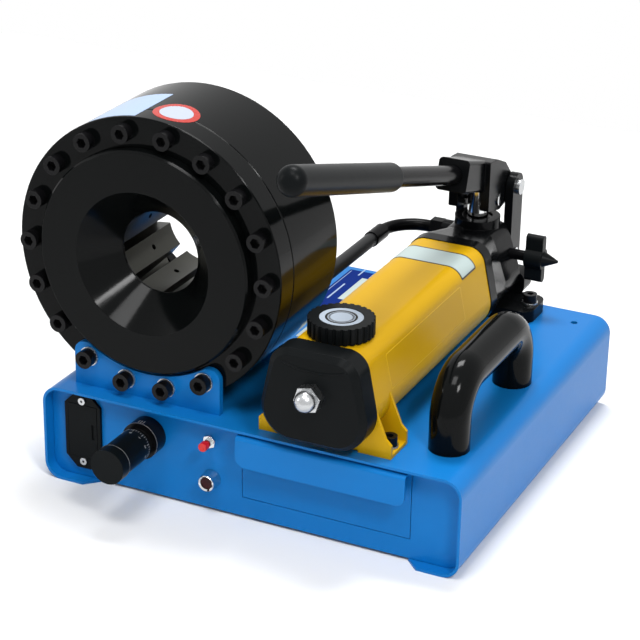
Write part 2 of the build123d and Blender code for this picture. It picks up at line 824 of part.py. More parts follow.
# ================================================================== pump head casting
root = tank_outline(0.8)
waist = trapezoid(tank_z0, neck_top - tank_z0, neck_wb, neck_wt, 22.0, 12.0)
link_x = yoke_w / 2 + 0.5
port_out = 35.0         # outlet boss face from the pump's middle
lower_z = pivot_z - link_len
with BuildPart() as pump_head:
    with BuildSketch(front(tank_back)):
        add(root)
    extrude(amount=-14.0)
    with BuildSketch(front(tank_back + 14.0)):
        add(root)
    with BuildSketch(front(head_neck_y)):
        add(waist)
    loft()
    with BuildSketch(front(head_neck_y)):
        add(waist)
    extrude(amount=head_neck_y - head_neck_back)
    # the low body behind the neck carries the lug of the links
    with BuildSketch(front(head_neck_back)) as low:
        with Locations((pump_x, (tank_z0 + low_top) / 2)):
            Rectangle(neck_wb - 8.0, low_top - tank_z0)
        fillet(low.vertices(), 9.0)
    extrude(amount=head_neck_back - head_back)
    with BuildSketch(Plane(origin=(pump_x, pivot_y, lower_z), x_dir=(0, 1, 0), z_dir=(1, 0, 0))):
        Circle(11.0)
        with Locations((-3.0, -12.0)):
            Rectangle(16.0, 24.0)
    extrude(amount=link_x - 0.2, both=True)
    # plunger boss
    with BuildSketch(Plane.XY.offset(low_top)):
        with Locations((pump_x, boss_y)):
            Circle(boss_r)
    extrude(amount=boss_top - low_top)
    with BuildSketch(Plane.XY.offset(boss_top)):
        with Locations((pump_x, boss_y)):
            Circle(gland_r + 0.1)
    extrude(amount=-gland_h, mode=Mode.SUBTRACT)
    with BuildSketch(Plane.XY.offset(boss_top)):
        with Locations((pump_x, boss_y)):
            Circle(plunger_r + run_fit)
    extrude(amount=-gland_h - plunger_len + 22.0, mode=Mode.SUBTRACT)
    # feet
    with BuildSketch(Plane.XY.offset(base_h)) as ears:
        with Locations((pump_x, ear_y)):
            Rectangle(ear_w, ear_d)
        fillet(ears.vertices(), 12.0)
    extrude(amount=ear_t)
    with BuildSketch(Plane.XY.offset(base_h)):
        with Locations((pump_x - ear_slot_x, ear_y), (pump_x + ear_slot_x, ear_y)):
            SlotOverall(ear_slot_len, 2 * ear_slot_r, rotation=90)
    extrude(amount=ear_t, mode=Mode.SUBTRACT)
    # tie rod socket, lower pivot, valve, plug and outlet port
    with BuildSketch(front(tank_back)):
        with Locations((pump_x, nut_z)):
            Circle(rod_r)
    extrude(amount=-14.0, mode=Mode.SUBTRACT)
    with BuildSketch(Plane(origin=(pump_x, pivot_y, lower_z), x_dir=(0, 1, 0), z_dir=(1, 0, 0))):
        Circle(pivot_pin_r)
    extrude(amount=link_x, both=True, mode=Mode.SUBTRACT)
    side_x = Plane(origin=(pump_x, 0, 0), x_dir=(0, 1, 0), z_dir=(1, 0, 0))
    with BuildSketch(side_x.offset(20.0)):
        with Locations((valve_y, valve_z)):
            Circle(stem_r + run_fit)
    extrude(amount=40.0, mode=Mode.SUBTRACT)
    with BuildSketch(front(head_back)):
        with Locations((pump_x + plug_side, low_top - plug_drop)):
            Circle(4.0)
    extrude(amount=14.0, mode=Mode.SUBTRACT)
    with BuildSketch(side_x.offset(-port_out)):
        with Locations((hose_port_y, hose_z)):
            Circle(9.5)
    extrude(amount=16.0)
    with BuildSketch(side_x.offset(-port_out)):
        with Locations((hose_port_y, hose_z)):
            Circle(6.0)
    extrude(amount=12.0, mode=Mode.SUBTRACT)
save(pump_head, "pump_head")

with BuildPart() as gland_nut:
    with BuildSketch(Plane.XY.offset(boss_top - gland_h)):
        with Locations((pump_x, boss_y)):
            Circle(gland_r)
            Circle(plunger_r + run_fit, mode=Mode.SUBTRACT)
    extrude(amount=gland_h - 1.5)
    with BuildSketch(Plane.XY.offset(boss_top - 1.5)):
        with Locations((pump_x, boss_y)):
            with PolarLocations(gland_r - 2.0, 4):
                Circle(1.3)
    extrude(amount=-3.0, mode=Mode.SUBTRACT)
save(gland_nut, "gland_nut")

with BuildPart() as relief_plug:
    with BuildSketch(front(head_back)):
        with Locations((pump_x + plug_side, low_top - plug_drop)):
            Circle(6.0)
    extrude(amount=-2.0)
    with BuildSketch(front(head_back)):
        with Locations((pump_x + plug_side, low_top - plug_drop)):
            Circle(4.0)
    extrude(amount=10.0)
    with BuildSketch(front(head_back + 2.0)):
        with Locations((pump_x + plug_side, low_top - plug_drop)):
            RegularPolygon(2.5, 6, major_radius=False)
    extrude(amount=4.0, mode=Mode.SUBTRACT)
save(relief_plug, "relief_plug")

# ================================================================== plunger and its pin
pin_y = pivot_y - pin_arm
pin_z = pivot_z - pin_arm * tan(radians(arm_deg))
side_mid = Plane(origin=(pump_x, 0, 0), x_dir=(0, 1, 0), z_dir=(1, 0, 0))
with BuildPart() as plunger:
    with BuildSketch(Plane.XY.offset(pin_z + 9.0)):
        with Locations((pump_x, pin_y)):
            Circle(plunger_r)
    extrude(amount=-plunger_len)
    with BuildSketch(side_mid):
        with Locations((pin_y, pin_z)):
            Circle(plunger_pin_r)
    extrude(amount=plunger_r + 1.0, both=True, mode=Mode.SUBTRACT)
    chamfer(plunger.edges().group_by(Axis.Z)[0], 1.0)
save(plunger, "plunger")

with BuildPart() as plunger_pin:
    with BuildSketch(side_mid):
        with Locations((pin_y, pin_z)):
            Circle(plunger_pin_r)
    extrude(amount=yoke_w / 2 + 1.0, both=True)
    for sx in (-1, 1):
        with BuildSketch(side_mid.offset(sx * (yoke_w / 2 + 0.4))):
            with Locations((pin_y, pin_z)):
                Circle(plunger_pin_r + 1.6)
        extrude(amount=sx * 1.2)
save(plunger_pin, "plunger_pin")

# ================================================================== lever yoke, bar and grip
tilt = radians(lever_deg)
along = (0, -cos(tilt), sin(tilt))
lever_side = Plane(origin=(pump_x, pivot_y, pivot_z), x_dir=along, z_dir=(-1, 0, 0))


def on_lever(u, n):
    """World point at u along the lever from the upper pivot and n square to it."""
    return (pump_x, pivot_y - u * cos(tilt) + n * sin(tilt), pivot_z + u * sin(tilt) + n * cos(tilt))


arm = radians(lever_deg + arm_deg)
slot_mid = pin_arm * (1 + 1 / cos(radians(20.0))) / 2
slot_at = (slot_mid * cos(arm), -slot_mid * sin(arm))
slot_run = pin_arm * (1 / cos(radians(20.0)) - 1) + 0.8
with BuildPart() as lever_yoke:
    with BuildSketch(lever_side) as cheek:
        with BuildLine():
            Polyline(
                (63.0, 21.0),
                (46.0, 24.5),
                (22.0, 22.0),
                (4.0, 13.0),
                (-9.0, 9.0),
                (-12.5, 0.0),
                (-8.0, -10.0),
                (8.0, -17.0),
                (20.0, -23.0),
                (49.0, -25.0),
                close=True,
            )
        make_face()
        fillet(cheek.vertices(), 2.0)
    extrude(amount=yoke_w / 2, both=True)
    # slot for the plunger, open below
    with BuildSketch(lever_side):
        with Locations((20.0, -20.0)):
            Rectangle(70.0, 48.0)
    extrude(amount=yoke_gap / 2, both=True, mode=Mode.SUBTRACT)
    # square socket for the bar
    start = on_lever(40.0, lever_off)
    with BuildSketch(Plane(origin=start, x_dir=(1, 0, 0), z_dir=along)) as block:
        Rectangle(socket_w, 30.0)
        fillet(block.vertices(), 4.0)
    extrude(amount=socket_front - 40.0)
    bore = on_lever(bar_start, lever_off)
    with BuildSketch(Plane(origin=bore, x_dir=(1, 0, 0), z_dir=along)):
        Circle(bar_r)
    extrude(amount=socket_front - bar_start, mode=Mode.SUBTRACT)
    with BuildSketch(lever_side):
        Circle(pivot_pin_r + pin_fit)
    extrude(amount=yoke_w, both=True, mode=Mode.SUBTRACT)
    with BuildSketch(lever_side):
        with Locations(Location((slot_at[0], slot_at[1], 0), (0, 0, -degrees(arm)))):
            SlotCenterToCenter(slot_run, 2 * (plunger_pin_r + pin_slot_play))
    extrude(amount=yoke_w, both=True, mode=Mode.SUBTRACT)
save(lever_yoke, "lever_yoke")

with BuildPart() as lever_bar:
    start = on_lever(bar_start, lever_off)
    with BuildSketch(Plane(origin=start, x_dir=(1, 0, 0), z_dir=along)):
        Circle(bar_r)
        Circle(bar_r - 3.0, mode=Mode.SUBTRACT)
    extrude(amount=bar_end - bar_start)
save(lever_bar, "lever_bar")

with BuildPart() as lever_grip:
    start = on_lever(grip_start, lever_off)
    end = on_lever(grip_end, lever_off)
    with BuildSketch(Plane(origin=start, x_dir=(1, 0, 0), z_dir=along)):
        Circle(grip_r)
    extrude(amount=grip_end - grip_start)
    fillet(lever_grip.edges().group_by(Axis.Z)[-1], grip_r * 0.85)
    fillet(lever_grip.edges().group_by(Axis.Z)[0], 3.0)
    with BuildSketch(Plane(origin=start, x_dir=(1, 0, 0), z_dir=along)):
        Circle(bar_r)
    extrude(amount=bar_end - grip_start, mode=Mode.SUBTRACT)
save(lever_grip, "lever_grip")

# ================================================================== links behind the plunger
with BuildPart() as rear_links:
    for sx in (-1, 1):
        with BuildSketch(side_mid.offset(sx * link_x)):
            with Locations((pivot_y, (pivot_z + lower_z) / 2)):
                SlotCenterToCenter(link_len, link_w, rotation=90)
            with Locations((pivot_y, pivot_z), (pivot_y, lower_z)):
                Circle(pivot_pin_r, mode=Mode.SUBTRACT)
        extrude(amount=sx * link_t)
save(rear_links, "rear_links")

pin_out = link_x + link_t + 3.0
with BuildPart() as lever_pivot_pin:
    with BuildSketch(side_mid):
        with Locations((pivot_y, pivot_z)):
            Circle(pivot_pin_r)
    extrude(amount=pin_out, both=True)
    for sx in (-1, 1):
        with BuildSketch(side_mid.offset(sx * (link_x + link_t))):
            with Locations((pivot_y, pivot_z)):
                Circle(pivot_pin_r + 2.5)
        extrude(amount=sx * 3.5)
save(lever_pivot_pin, "lever_pivot_pin")

with BuildPart() as link_foot_pin:
    with BuildSketch(side_mid):
        with Locations((pivot_y, lower_z)):
            Circle(pivot_pin_r)
    extrude(amount=link_x + link_t + 1.5, both=True)
save(link_foot_pin, "link_foot_pin")

# ================================================================== release valve
with BuildPart() as release_stem:
    with BuildSketch(side_mid.offset(24.0)):
        with Locations((valve_y, valve_z)):
            Circle(stem_r)
    extrude(amount=knob_x - pump_x - 24.0 + 8.0)
save(release_stem, "release_stem")

with BuildPart() as release_knob:
    knob = Plane(origin=(knob_x, valve_y, valve_z), x_dir=(0, 1, 0), z_dir=(1, 0, 0))
    with BuildSketch(knob):
        Circle(10.0)
    extrude(amount=knob_w)
    with BuildSketch(knob) as wing:
        RectangleRounded(knob_t, knob_span, 4.0)
    extrude(amount=knob_w)
    with BuildSketch(knob.offset(knob_w)):
        Circle(7.5)
    with BuildSketch(knob.offset(knob_w + 14.0)):
        Circle(1.2)
    loft()
    with BuildSketch(knob):
        Circle(stem_r)
    extrude(amount=8.0, mode=Mode.SUBTRACT)
save(release_knob, "release_knob")

# ================================================================== hose between pump and head
head_nip = 30.0         # metal end at the head
nut_len = 12.0          # nut at the pump
shell_len = 26.0        # crimped shell where the hose meets its bent tube
wall_x = pump_x - port_out
barrel_back = face_y + head_len
hose_start = barrel_back + head_nip
bend_start = hose_port_y - hose_bend
hose_end = bend_start - shell_len + 2.0
with BuildPart() as hose:
    with BuildSketch(front(hose_start)):
        with Locations((hose_port_x, hose_z)):
            Circle(hose_r)
    extrude(amount=hose_start - hose_end)
save(hose, "hose")
print("hose length", round(hose_end - hose_start, 1))

with BuildPart() as hose_fittings:
    # head end: thread, hexagon and crimped shell
    with BuildSketch(front(barrel_back)):
        with Locations((hose_port_x, hose_z)):
            Circle(6.0)
    extrude(amount=14.0)
    with BuildSketch(front(barrel_back)):
        with Locations((hose_port_x, hose_z)):
            RegularPolygon(8.5, 6, major_radius=False)
    extrude(amount=-9.0)
    with BuildSketch(front(barrel_back + 9.0)):
        with Locations((hose_port_x, hose_z)):
            Circle(7.8)
    extrude(amount=9.0 - head_nip)
    # pump end: crimped shell, bent steel tube and nut
    with BuildSketch(front(hose_end)):
        with Locations((hose_port_x, hose_z)):
            Circle(7.6)
    extrude(amount=hose_end - bend_start)
    with BuildLine():
        FilletPolyline(
            (hose_port_x, bend_start - 1.0, hose_z),
            (hose_port_x, hose_port_y, hose_z),
            (wall_x - nut_len + 1.0, hose_port_y, hose_z),
            radius=hose_bend,
        )
    with BuildSketch(front(bend_start - 1.0)):
        with Locations((hose_port_x, hose_z)):
            Circle(hose_tube_r)
    sweep()
    port = Plane(origin=(wall_x, 0, 0), x_dir=(0, 1, 0), z_dir=(1, 0, 0))
    with BuildSketch(port):
        with Locations((hose_port_y, hose_z)):
            Circle(6.0)
    extrude(amount=12.0)
    with BuildSketch(port):
        with Locations((hose_port_y, hose_z)):
            RegularPolygon(8.6, 6, major_radius=False)
    extrude(amount=-nut_len)
save(hose_fittings, "hose_fittings")

# ================================================================== drawer
drawer_x0 = drawer_x - drawer_w / 2
drawer_top = drawer_z0 + drawer_h
with BuildPart() as drawer:
    # front plate with a folded finger lip along its top
    with BuildSketch(front(panel_y)):
        with Locations((drawer_x, drawer_z0 + drawer_h / 2)):
            Rectangle(drawer_w, drawer_h)
    extrude(amount=-drawer_t)
    with BuildSketch(Plane.XY.offset(drawer_top)):
        with Locations((drawer_x, panel_y - lip_out / 2)):
            Rectangle(drawer_w, lip_out)
    extrude(amount=-drawer_t)
    with BuildSketch(front(panel_y - lip_out)) as lip:
        with Locations((drawer_x, drawer_top - lip_drop / 2)):
            Rectangle(drawer_w, lip_drop)
        fillet(lip.vertices().group_by(Axis.Y)[0], lip_r)
    extrude(amount=-drawer_t)
    bend = drawer.edges().filter_by(Axis.X).group_by(Axis.Z)[-1].group_by(Axis.Y)[0]
    fillet(bend, 3.5)
    # tray
    tray_w = drawer_w - 8.0
    with BuildSketch(Plane.XY.offset(drawer_z0 + 2.0)):
        with Locations((drawer_x, panel_y + drawer_t + tray_d / 2)):
            Rectangle(tray_w, tray_d)
    extrude(amount=tray_h)
    with BuildSketch(Plane.XY.offset(drawer_z0 + 2.0 + drawer_t)):
        with Locations((drawer_x, panel_y + drawer_t + tray_d / 2 - drawer_t / 2)):
            Rectangle(tray_w - 2 * drawer_t, tray_d - drawer_t)
    extrude(amount=tray_h, mode=Mode.SUBTRACT)
save(drawer, "drawer")

with BuildPart() as drawer_runners:
    y0 = panel_y + sheet_t
    for sx in (-1, 1):
        web_x = drawer_x + sx * (tray_w / 2 + runner_gap + 0.75)
        with BuildSketch(Plane.XY.offset(drawer_z0 + 2.0 - runner_gap - 1.5)):
            with Locations((web_x, y0 + tray_d / 2)):
                Rectangle(1.5, tray_d)
        extrude(amount=base_h - sheet_t - drawer_z0 - 2.0 + runner_gap + 1.5)
        # ledge under the tray and flange welded under the top
        with BuildSketch(Plane.XY.offset(drawer_z0 + 2.0 - runner_gap)):
            with Locations((web_x - sx * 4.75, y0 + tray_d / 2)):
                Rectangle(8.0, tray_d)
        extrude(amount=-1.5)
        with BuildSketch(Plane.XY.offset(base_h - sheet_t)):
            with Locations((web_x - sx * 4.75, y0 + tray_d / 2)):
                Rectangle(8.0, tray_d)
        extrude(amount=-1.5)
save(drawer_runners, "drawer_runners")

# ================================================================== battery box
with BuildPart() as battery_box:
    hw, hh, cut = cell_w / 2, cell_h / 2, 11.0
    with BuildSketch(front(panel_y)):
        with BuildLine():
            Polyline(
                (cell_x - hw, cell_z - hh + cut),
                (cell_x - hw + cut, cell_z - hh),
                (cell_x + hw - cut, cell_z - hh),
                (cell_x + hw, cell_z - hh + cut),
                (cell_x + hw, cell_z + hh - cut),
                (cell_x + hw - cut, cell_z + hh),
                (cell_x - hw + cut, cell_z + hh),
                (cell_x - hw, cell_z + hh - cut),
                close=True,
            )
        make_face()
        with Locations((cell_x, cell_z - cell_rivet), (cell_x, cell_z + cell_rivet)):
            Circle(1.7, mode=Mode.SUBTRACT)
    extrude(amount=cell_plate_t)
    with BuildSketch(front(panel_y)):
        with Locations((cell_x, cell_z)):
            Rectangle(cell_open_w + 3.0, cell_open_h + 2.0)
    extrude(amount=-cell_depth)
    with BuildSketch(front(panel_y - cell_plate_t)):
        with Locations((cell_x, cell_z)):
            Rectangle(cell_open_w, cell_open_h)
    extrude(amount=-cell_plate_t - cell_depth + 1.5, mode=Mode.SUBTRACT)
save(battery_box, "battery_box")

with BuildPart() as battery_rivets:
    for z in (cell_z - cell_rivet, cell_z + cell_rivet):
        with BuildSketch(front(panel_y - cell_plate_t)):
            with Locations((cell_x, z)):
                Circle(3.4)
                Circle(1.1, mode=Mode.SUBTRACT)
        extrude(amount=1.3)
        with BuildSketch(front(panel_y - cell_plate_t)):
            with Locations((cell_x, z)):
                Circle(1.6)
                Circle(1.1, mode=Mode.SUBTRACT)
        extrude(amount=-cell_plate_t - sheet_t - 1.0)
        with BuildSketch(front(panel_y + sheet_t)):
            with Locations((cell_x, z)):
                Circle(2.2)
                Circle(1.1, mode=Mode.SUBTRACT)
        extrude(amount=-1.0)
save(battery_rivets, "battery_rivets")

tray_front = panel_y - cell_plate_t - 0.2
box_w = cell_open_w - 2 * tray_play
box_h = cell_open_h - 2 * tray_play
box_d = cell_depth + cell_plate_t - 1.5 - 0.5
with BuildPart() as battery_tray:
    with BuildSketch(front(tray_front)):
        with Locations((cell_x, cell_z)):
            Rectangle(box_w, box_h)
    extrude(amount=-box_d)
    with BuildSketch(front(tray_front + 2.0)):
        with Locations((cell_x, cell_z)):
            Rectangle(box_w - 1.6, box_h - 1.6)
    extrude(amount=-box_d, mode=Mode.SUBTRACT)
    # finger slot
    with BuildSketch(front(tray_front)):
        with Locations((cell_x + box_w / 2 - 4.0, cell_z + 1.0)):
            Rectangle(2.6, 14.0)
    extrude(amount=-1.2, mode=Mode.SUBTRACT)
save(battery_tray, "battery_tray")

with BuildPart() as battery:
    with BuildSketch(front(tray_front + 2.0)):
        with Locations((cell_x, cell_z)):
            RectangleRounded(26.4, 48.4, 2.0)
    extrude(amount=-17.5)
save(battery, "battery")

# ================================================================== stroke adjuster
dial_plane = front(panel_y)
with BuildPart() as adjuster_sleeve:
    with BuildSketch(dial_plane):
        with Locations((dial_x, dial_z)):
            Circle(dial_collar_r)
    extrude(amount=dial_collar_t)
    with BuildSketch(dial_plane.offset(dial_collar_t)):
        with Locations((dial_x, dial_z)):
            Circle(dial_sleeve_r)
    extrude(amount=dial_front - dial_collar_t - 20.0)
    with BuildSketch(dial_plane):
        with Locations((dial_x, dial_z)):
            Circle(9.0)
    extrude(amount=-12.0)
    with BuildSketch(dial_plane.offset(dial_front)):
        with Locations((dial_x, dial_z)):
            Circle(dial_spindle_r + run_fit)
    extrude(amount=-dial_front - 12.0, mode=Mode.SUBTRACT)
save(adjuster_sleeve, "adjuster_sleeve")

with BuildPart() as adjuster_knob:
    with BuildSketch(dial_plane.offset(dial_collar_t + dial_travel + 1.5)):
        with Locations((dial_x, dial_z)):
            Circle(dial_r)
            Circle(dial_sleeve_r + run_fit, mode=Mode.SUBTRACT)
    extrude(amount=dial_front - 12.0 - dial_collar_t - dial_travel - 1.5)
    with BuildSketch(dial_plane.offset(dial_front - 12.0)):
        with Locations((dial_x, dial_z)):
            Circle(dial_r + 0.8)
    extrude(amount=12.0)
    with BuildSketch(dial_plane.offset(dial_front - 12.0)):
        with Locations((dial_x, dial_z)):
            Circle(dial_spindle_r + run_fit)
    extrude(amount=8.3, mode=Mode.SUBTRACT)
save(adjuster_knob, "adjuster_knob")

with BuildPart() as adjuster_spindle:
    with BuildSketch(dial_plane.offset(dial_front - 4.0)):
        with Locations((dial_x, dial_z)):
            Circle(dial_spindle_r)
    extrude(amount=4.0 - dial_front - 16.0)
save(adjuster_spindle, "adjuster_spindle")

with BuildPart() as adjuster_nut:
    with BuildSketch(front(panel_y + sheet_t)):
        with Locations((dial_x, dial_z)):
            RegularPolygon(13.0, 6, major_radius=False)
            Circle(9.0, mode=Mode.SUBTRACT)
    extrude(amount=-5.0)
save(adjuster_nut, "adjuster_nut")

# ================================================================== push button and lamp
with BuildPart() as button_bushing:
    with BuildSketch(dial_plane):
        with Locations((button_x, button_z)):
            RegularPolygon(5.4, 6, major_radius=False, rotation=20)
    extrude(amount=2.4)
    with BuildSketch(dial_plane.offset(2.4)):
        with Locations((button_x, button_z)):
            Circle(3.5)
    extrude(amount=3.2)
    with BuildSketch(dial_plane):
        with Locations((button_x, button_z)):
            Circle(3.5)
    extrude(amount=-6.0)
    with BuildSketch(dial_plane.offset(-6.0)):
        with Locations((button_x, button_z)):
            Rectangle(11.0, 11.0)
    extrude(amount=-10.0)
    with BuildSketch(dial_plane.offset(5.6)):
        with Locations((button_x, button_z)):
            Circle(2.0 + run_fit)
    extrude(amount=-16.0, mode=Mode.SUBTRACT)
save(button_bushing, "button_bushing")

with BuildPart() as push_button:
    with BuildSketch(dial_plane.offset(5.6 + button_travel + 0.4)):
        with Locations((button_x, button_z)):
            Circle(button_r)
    extrude(amount=6.0)
    fillet(push_button.edges().group_by(Axis.Y)[0], 0.8)
    with BuildSketch(dial_plane.offset(5.6 + button_travel + 0.4)):
        with Locations((button_x, button_z)):
            Circle(2.0)
    extrude(amount=-14.0)
save(push_button, "push_button")

with BuildPart() as lamp_bezel:
    with BuildSketch(Plane(origin=(lamp_x, panel_y, lamp_z), x_dir=(1, 0, 0), z_dir=(0, 0, 1))):
        with BuildLine():
            Polyline(
                (5.6, 0), (8.6, 0), (8.6, -1.6), (7.4, -11.4), (6.9, -12.0), (5.6, -11.0), close=True
            )
        make_face()
    revolve(axis=Axis((lamp_x, 0, lamp_z), (0, 1, 0)))
save(lamp_bezel, "lamp_bezel")

with BuildPart() as lamp_lens:
    with BuildSketch(dial_plane):
        with Locations((lamp_x, lamp_z)):
            Circle(5.5)
    extrude(amount=9.4)
    with BuildSketch(dial_plane):
        with Locations((lamp_x, lamp_z)):
            Circle(5.0)
    extrude(amount=-14.0)
save(lamp_lens, "lamp_lens")
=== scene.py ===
import json
import logging
import math
from dataclasses import dataclass
from enum import Enum
from typing import Callable, Dict, List, Optional, Sequence, Tuple

import bmesh
import bpy
from mathutils import Matrix, Vector


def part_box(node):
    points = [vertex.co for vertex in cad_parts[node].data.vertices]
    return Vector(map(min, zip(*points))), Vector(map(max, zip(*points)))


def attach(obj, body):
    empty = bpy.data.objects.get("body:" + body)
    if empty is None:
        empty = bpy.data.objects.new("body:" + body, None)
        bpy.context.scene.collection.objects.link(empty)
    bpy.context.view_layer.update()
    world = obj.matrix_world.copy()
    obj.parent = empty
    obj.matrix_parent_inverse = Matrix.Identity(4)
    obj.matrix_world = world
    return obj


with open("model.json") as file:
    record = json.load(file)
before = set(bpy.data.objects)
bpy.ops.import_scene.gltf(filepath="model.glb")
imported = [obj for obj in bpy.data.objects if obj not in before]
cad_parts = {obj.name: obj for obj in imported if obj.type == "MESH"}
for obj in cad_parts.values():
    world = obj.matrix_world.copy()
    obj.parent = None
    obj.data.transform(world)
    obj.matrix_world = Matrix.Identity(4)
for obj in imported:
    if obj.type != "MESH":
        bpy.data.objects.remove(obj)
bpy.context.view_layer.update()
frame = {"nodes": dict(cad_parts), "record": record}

LOG = logging.getLogger("crimper")
MM = 0.001

Colour = Tuple[float, float, float]
Point = Tuple[float, float, float]


# ---------------------------------------------------------------- finishes
class Surface(Enum):
    """Kinds of fine relief that a finish can carry."""

    PEEL = "orange_peel"
    GRAIN = "moulded_grain"
    BRUSHED = "brushed"
    CAST = "cast"
    POLISHED = "polished"


@dataclass(frozen=True)
class Finish:
    """Everything that one procedural material needs.

    Args:
        name: material name, also the record's slot unless slot is given.
        colour: base colour, linear.
        metallic: 0 for paint and plastic, 1 for bare metal.
        roughness: middle value, varied by the smudge group.
        surface: relief kind.
        relief: relief height in millimetres.
        relief_scale: relief cells per metre.
        vary: roughness variation around the middle value.
        wear: how much of the edges is rubbed, 0 to 1.
        wear_colour: colour under the finish.
        dust: dust on faces that look up, 0 to 1.
        round_mm: radius that edges are shaded with.
        specular: dielectric reflection level.
        slot: the record's material slot; not used.
    """

    name: str
    colour: Colour
    metallic: float = 0.0
    roughness: float = 0.4
    surface: Surface = Surface.PEEL
    relief: float = 0.01
    relief_scale: float = 900.0
    vary: float = 0.05
    wear: float = 0.0
    wear_colour: Colour = (0.3, 0.3, 0.3)
    dust: float = 0.0
    round_mm: float = 0.4
    specular: float = 0.5
    slot: str = ""


FINISHES: Dict[str, Finish] = {
    f.name: f
    for f in (
        Finish("cabinet_paint", (0.002, 0.165, 0.50), roughness=0.34, relief=0.012, relief_scale=1500,
               specular=0.16, wear=0.03, wear_colour=(0.01, 0.10, 0.28), dust=0.01, round_mm=0.6),
        Finish("head_enamel", (0.0022, 0.0027, 0.0028), roughness=0.11, relief=0.003, relief_scale=420,
               specular=0.09, dust=0.002, round_mm=0.7),
        Finish("cast_black", (0.0028, 0.0032, 0.0036), roughness=0.2, surface=Surface.CAST, relief=0.03,
               relief_scale=520, specular=0.08, dust=0.004, round_mm=1.2),
        Finish("tank_paint", (0.60, 0.345, 0.004), roughness=0.34, relief=0.006, relief_scale=900,
               specular=0.1, dust=0.002, round_mm=0.5),
        Finish("cap_plastic", (0.0035, 0.0045, 0.005), roughness=0.36, surface=Surface.GRAIN, relief=0.012,
               relief_scale=2600, specular=0.07, round_mm=0.6),
        Finish("grip_plastic", (0.0045, 0.0055, 0.006), roughness=0.34, surface=Surface.GRAIN, relief=0.01,
               relief_scale=2600, specular=0.06, round_mm=0.8),
        Finish("pale_plastic", (0.44, 0.51, 0.60), roughness=0.4, surface=Surface.GRAIN, relief=0.004,
               relief_scale=2200, specular=0.3),
        Finish("knob_black", (0.0032, 0.0045, 0.0052), roughness=0.3, surface=Surface.BRUSHED,
               relief=0.004, relief_scale=2400, specular=0.07, round_mm=0.4),
        Finish("oxide_steel", (0.0035, 0.0035, 0.004), roughness=0.24, surface=Surface.CAST,
               relief=0.006, relief_scale=2200, specular=0.14, wear=0.08, wear_colour=(0.10, 0.10, 0.10), round_mm=0.5),
        Finish("die_steel", (0.045, 0.045, 0.038), metallic=0.85, roughness=0.34, surface=Surface.BRUSHED,
               relief=0.006, relief_scale=900, wear=0.25, wear_colour=(0.25, 0.25, 0.24), round_mm=0.3),
        Finish("ground_steel", (0.22, 0.22, 0.21), metallic=1.0, roughness=0.34, surface=Surface.BRUSHED,
               relief=0.004, relief_scale=1400),
        Finish("zinc_steel", (0.48, 0.49, 0.50), metallic=1.0, roughness=0.27, surface=Surface.POLISHED,
               relief=0.004, relief_scale=900, round_mm=0.4),
        Finish("bright_chrome", (0.66, 0.67, 0.68), metallic=1.0, roughness=0.08, surface=Surface.POLISHED,
               relief=0.002, relief_scale=700, round_mm=0.25),
        Finish("hose_rubber", (0.006, 0.0065, 0.0075), roughness=0.4, surface=Surface.GRAIN, relief=0.03,
               relief_scale=1500, specular=0.25),
        Finish("seal_rubber", (0.012, 0.012, 0.012), roughness=0.6, surface=Surface.GRAIN),
        Finish("battery_wrap", (0.03, 0.05, 0.09), roughness=0.3, surface=Surface.GRAIN, relief=0.004),
        Finish("button_red", (0.60, 0.008, 0.006), roughness=0.28, surface=Surface.GRAIN, relief=0.004,
               relief_scale=1800),
        Finish("lens_red", (0.035, 0.002, 0.004), roughness=0.1, surface=Surface.POLISHED, relief=0.002,
               specular=0.25),
        # Pale label colour, also used for the painted highlight along the data plate's left edge.
        Finish("label_and_highlight_white", (0.33, 0.44, 0.63), roughness=0.3, surface=Surface.GRAIN, relief=0.002,
               specular=0.3, slot="pale_plastic"),
        Finish("label_bright", (0.42, 0.46, 0.54), roughness=0.45, surface=Surface.GRAIN, relief=0.002,
               specular=0.15, slot="pale_plastic"),
        Finish("lever_black", (0.003, 0.003, 0.0035), roughness=0.2, surface=Surface.PEEL, relief=0.003,
               relief_scale=700, specular=0.06, round_mm=0.5, slot="bright_chrome"),
        Finish("label_silver", (0.50, 0.54, 0.52), roughness=0.35, metallic=0.2, surface=Surface.GRAIN, relief=0.002,
               slot="pale_plastic"),
        Finish("label_blue", (0.002, 0.020, 0.17), roughness=0.6, surface=Surface.GRAIN, relief=0.002,
               specular=0.04, slot="pale_plastic"),
        Finish("label_red", (0.42, 0.026, 0.018), roughness=0.28, surface=Surface.GRAIN, relief=0.002,
               specular=0.3, slot="pale_plastic"),
        Finish("label_pale", (0.44, 0.53, 0.52), roughness=0.3, surface=Surface.GRAIN, relief=0.002,
               specular=0.3, slot="pale_plastic"),
        Finish("label_grey", (0.18, 0.20, 0.23), roughness=0.35, surface=Surface.GRAIN, relief=0.002,
               slot="pale_plastic"),
        Finish("film_edge", (0.80, 0.52, 0.03), roughness=0.3, surface=Surface.PEEL, relief=0.002,
               specular=0.15, slot="tank_paint"),
        Finish("film_yellow", (0.585, 0.335, 0.004), roughness=0.3, surface=Surface.PEEL, relief=0.003,
               specular=0.08, slot="tank_paint"),
        Finish("label_ink", (0.012, 0.012, 0.012), roughness=0.4, surface=Surface.GRAIN, relief=0.002,
               slot="cap_plastic"),
        # White for the printed marks, and for the painted highlight round the adjuster cap's back edge.
        Finish("mark_and_highlight_white", (0.55, 0.55, 0.55), roughness=0.5, surface=Surface.GRAIN, relief=0.002,
               slot="pale_plastic"),
    )
}


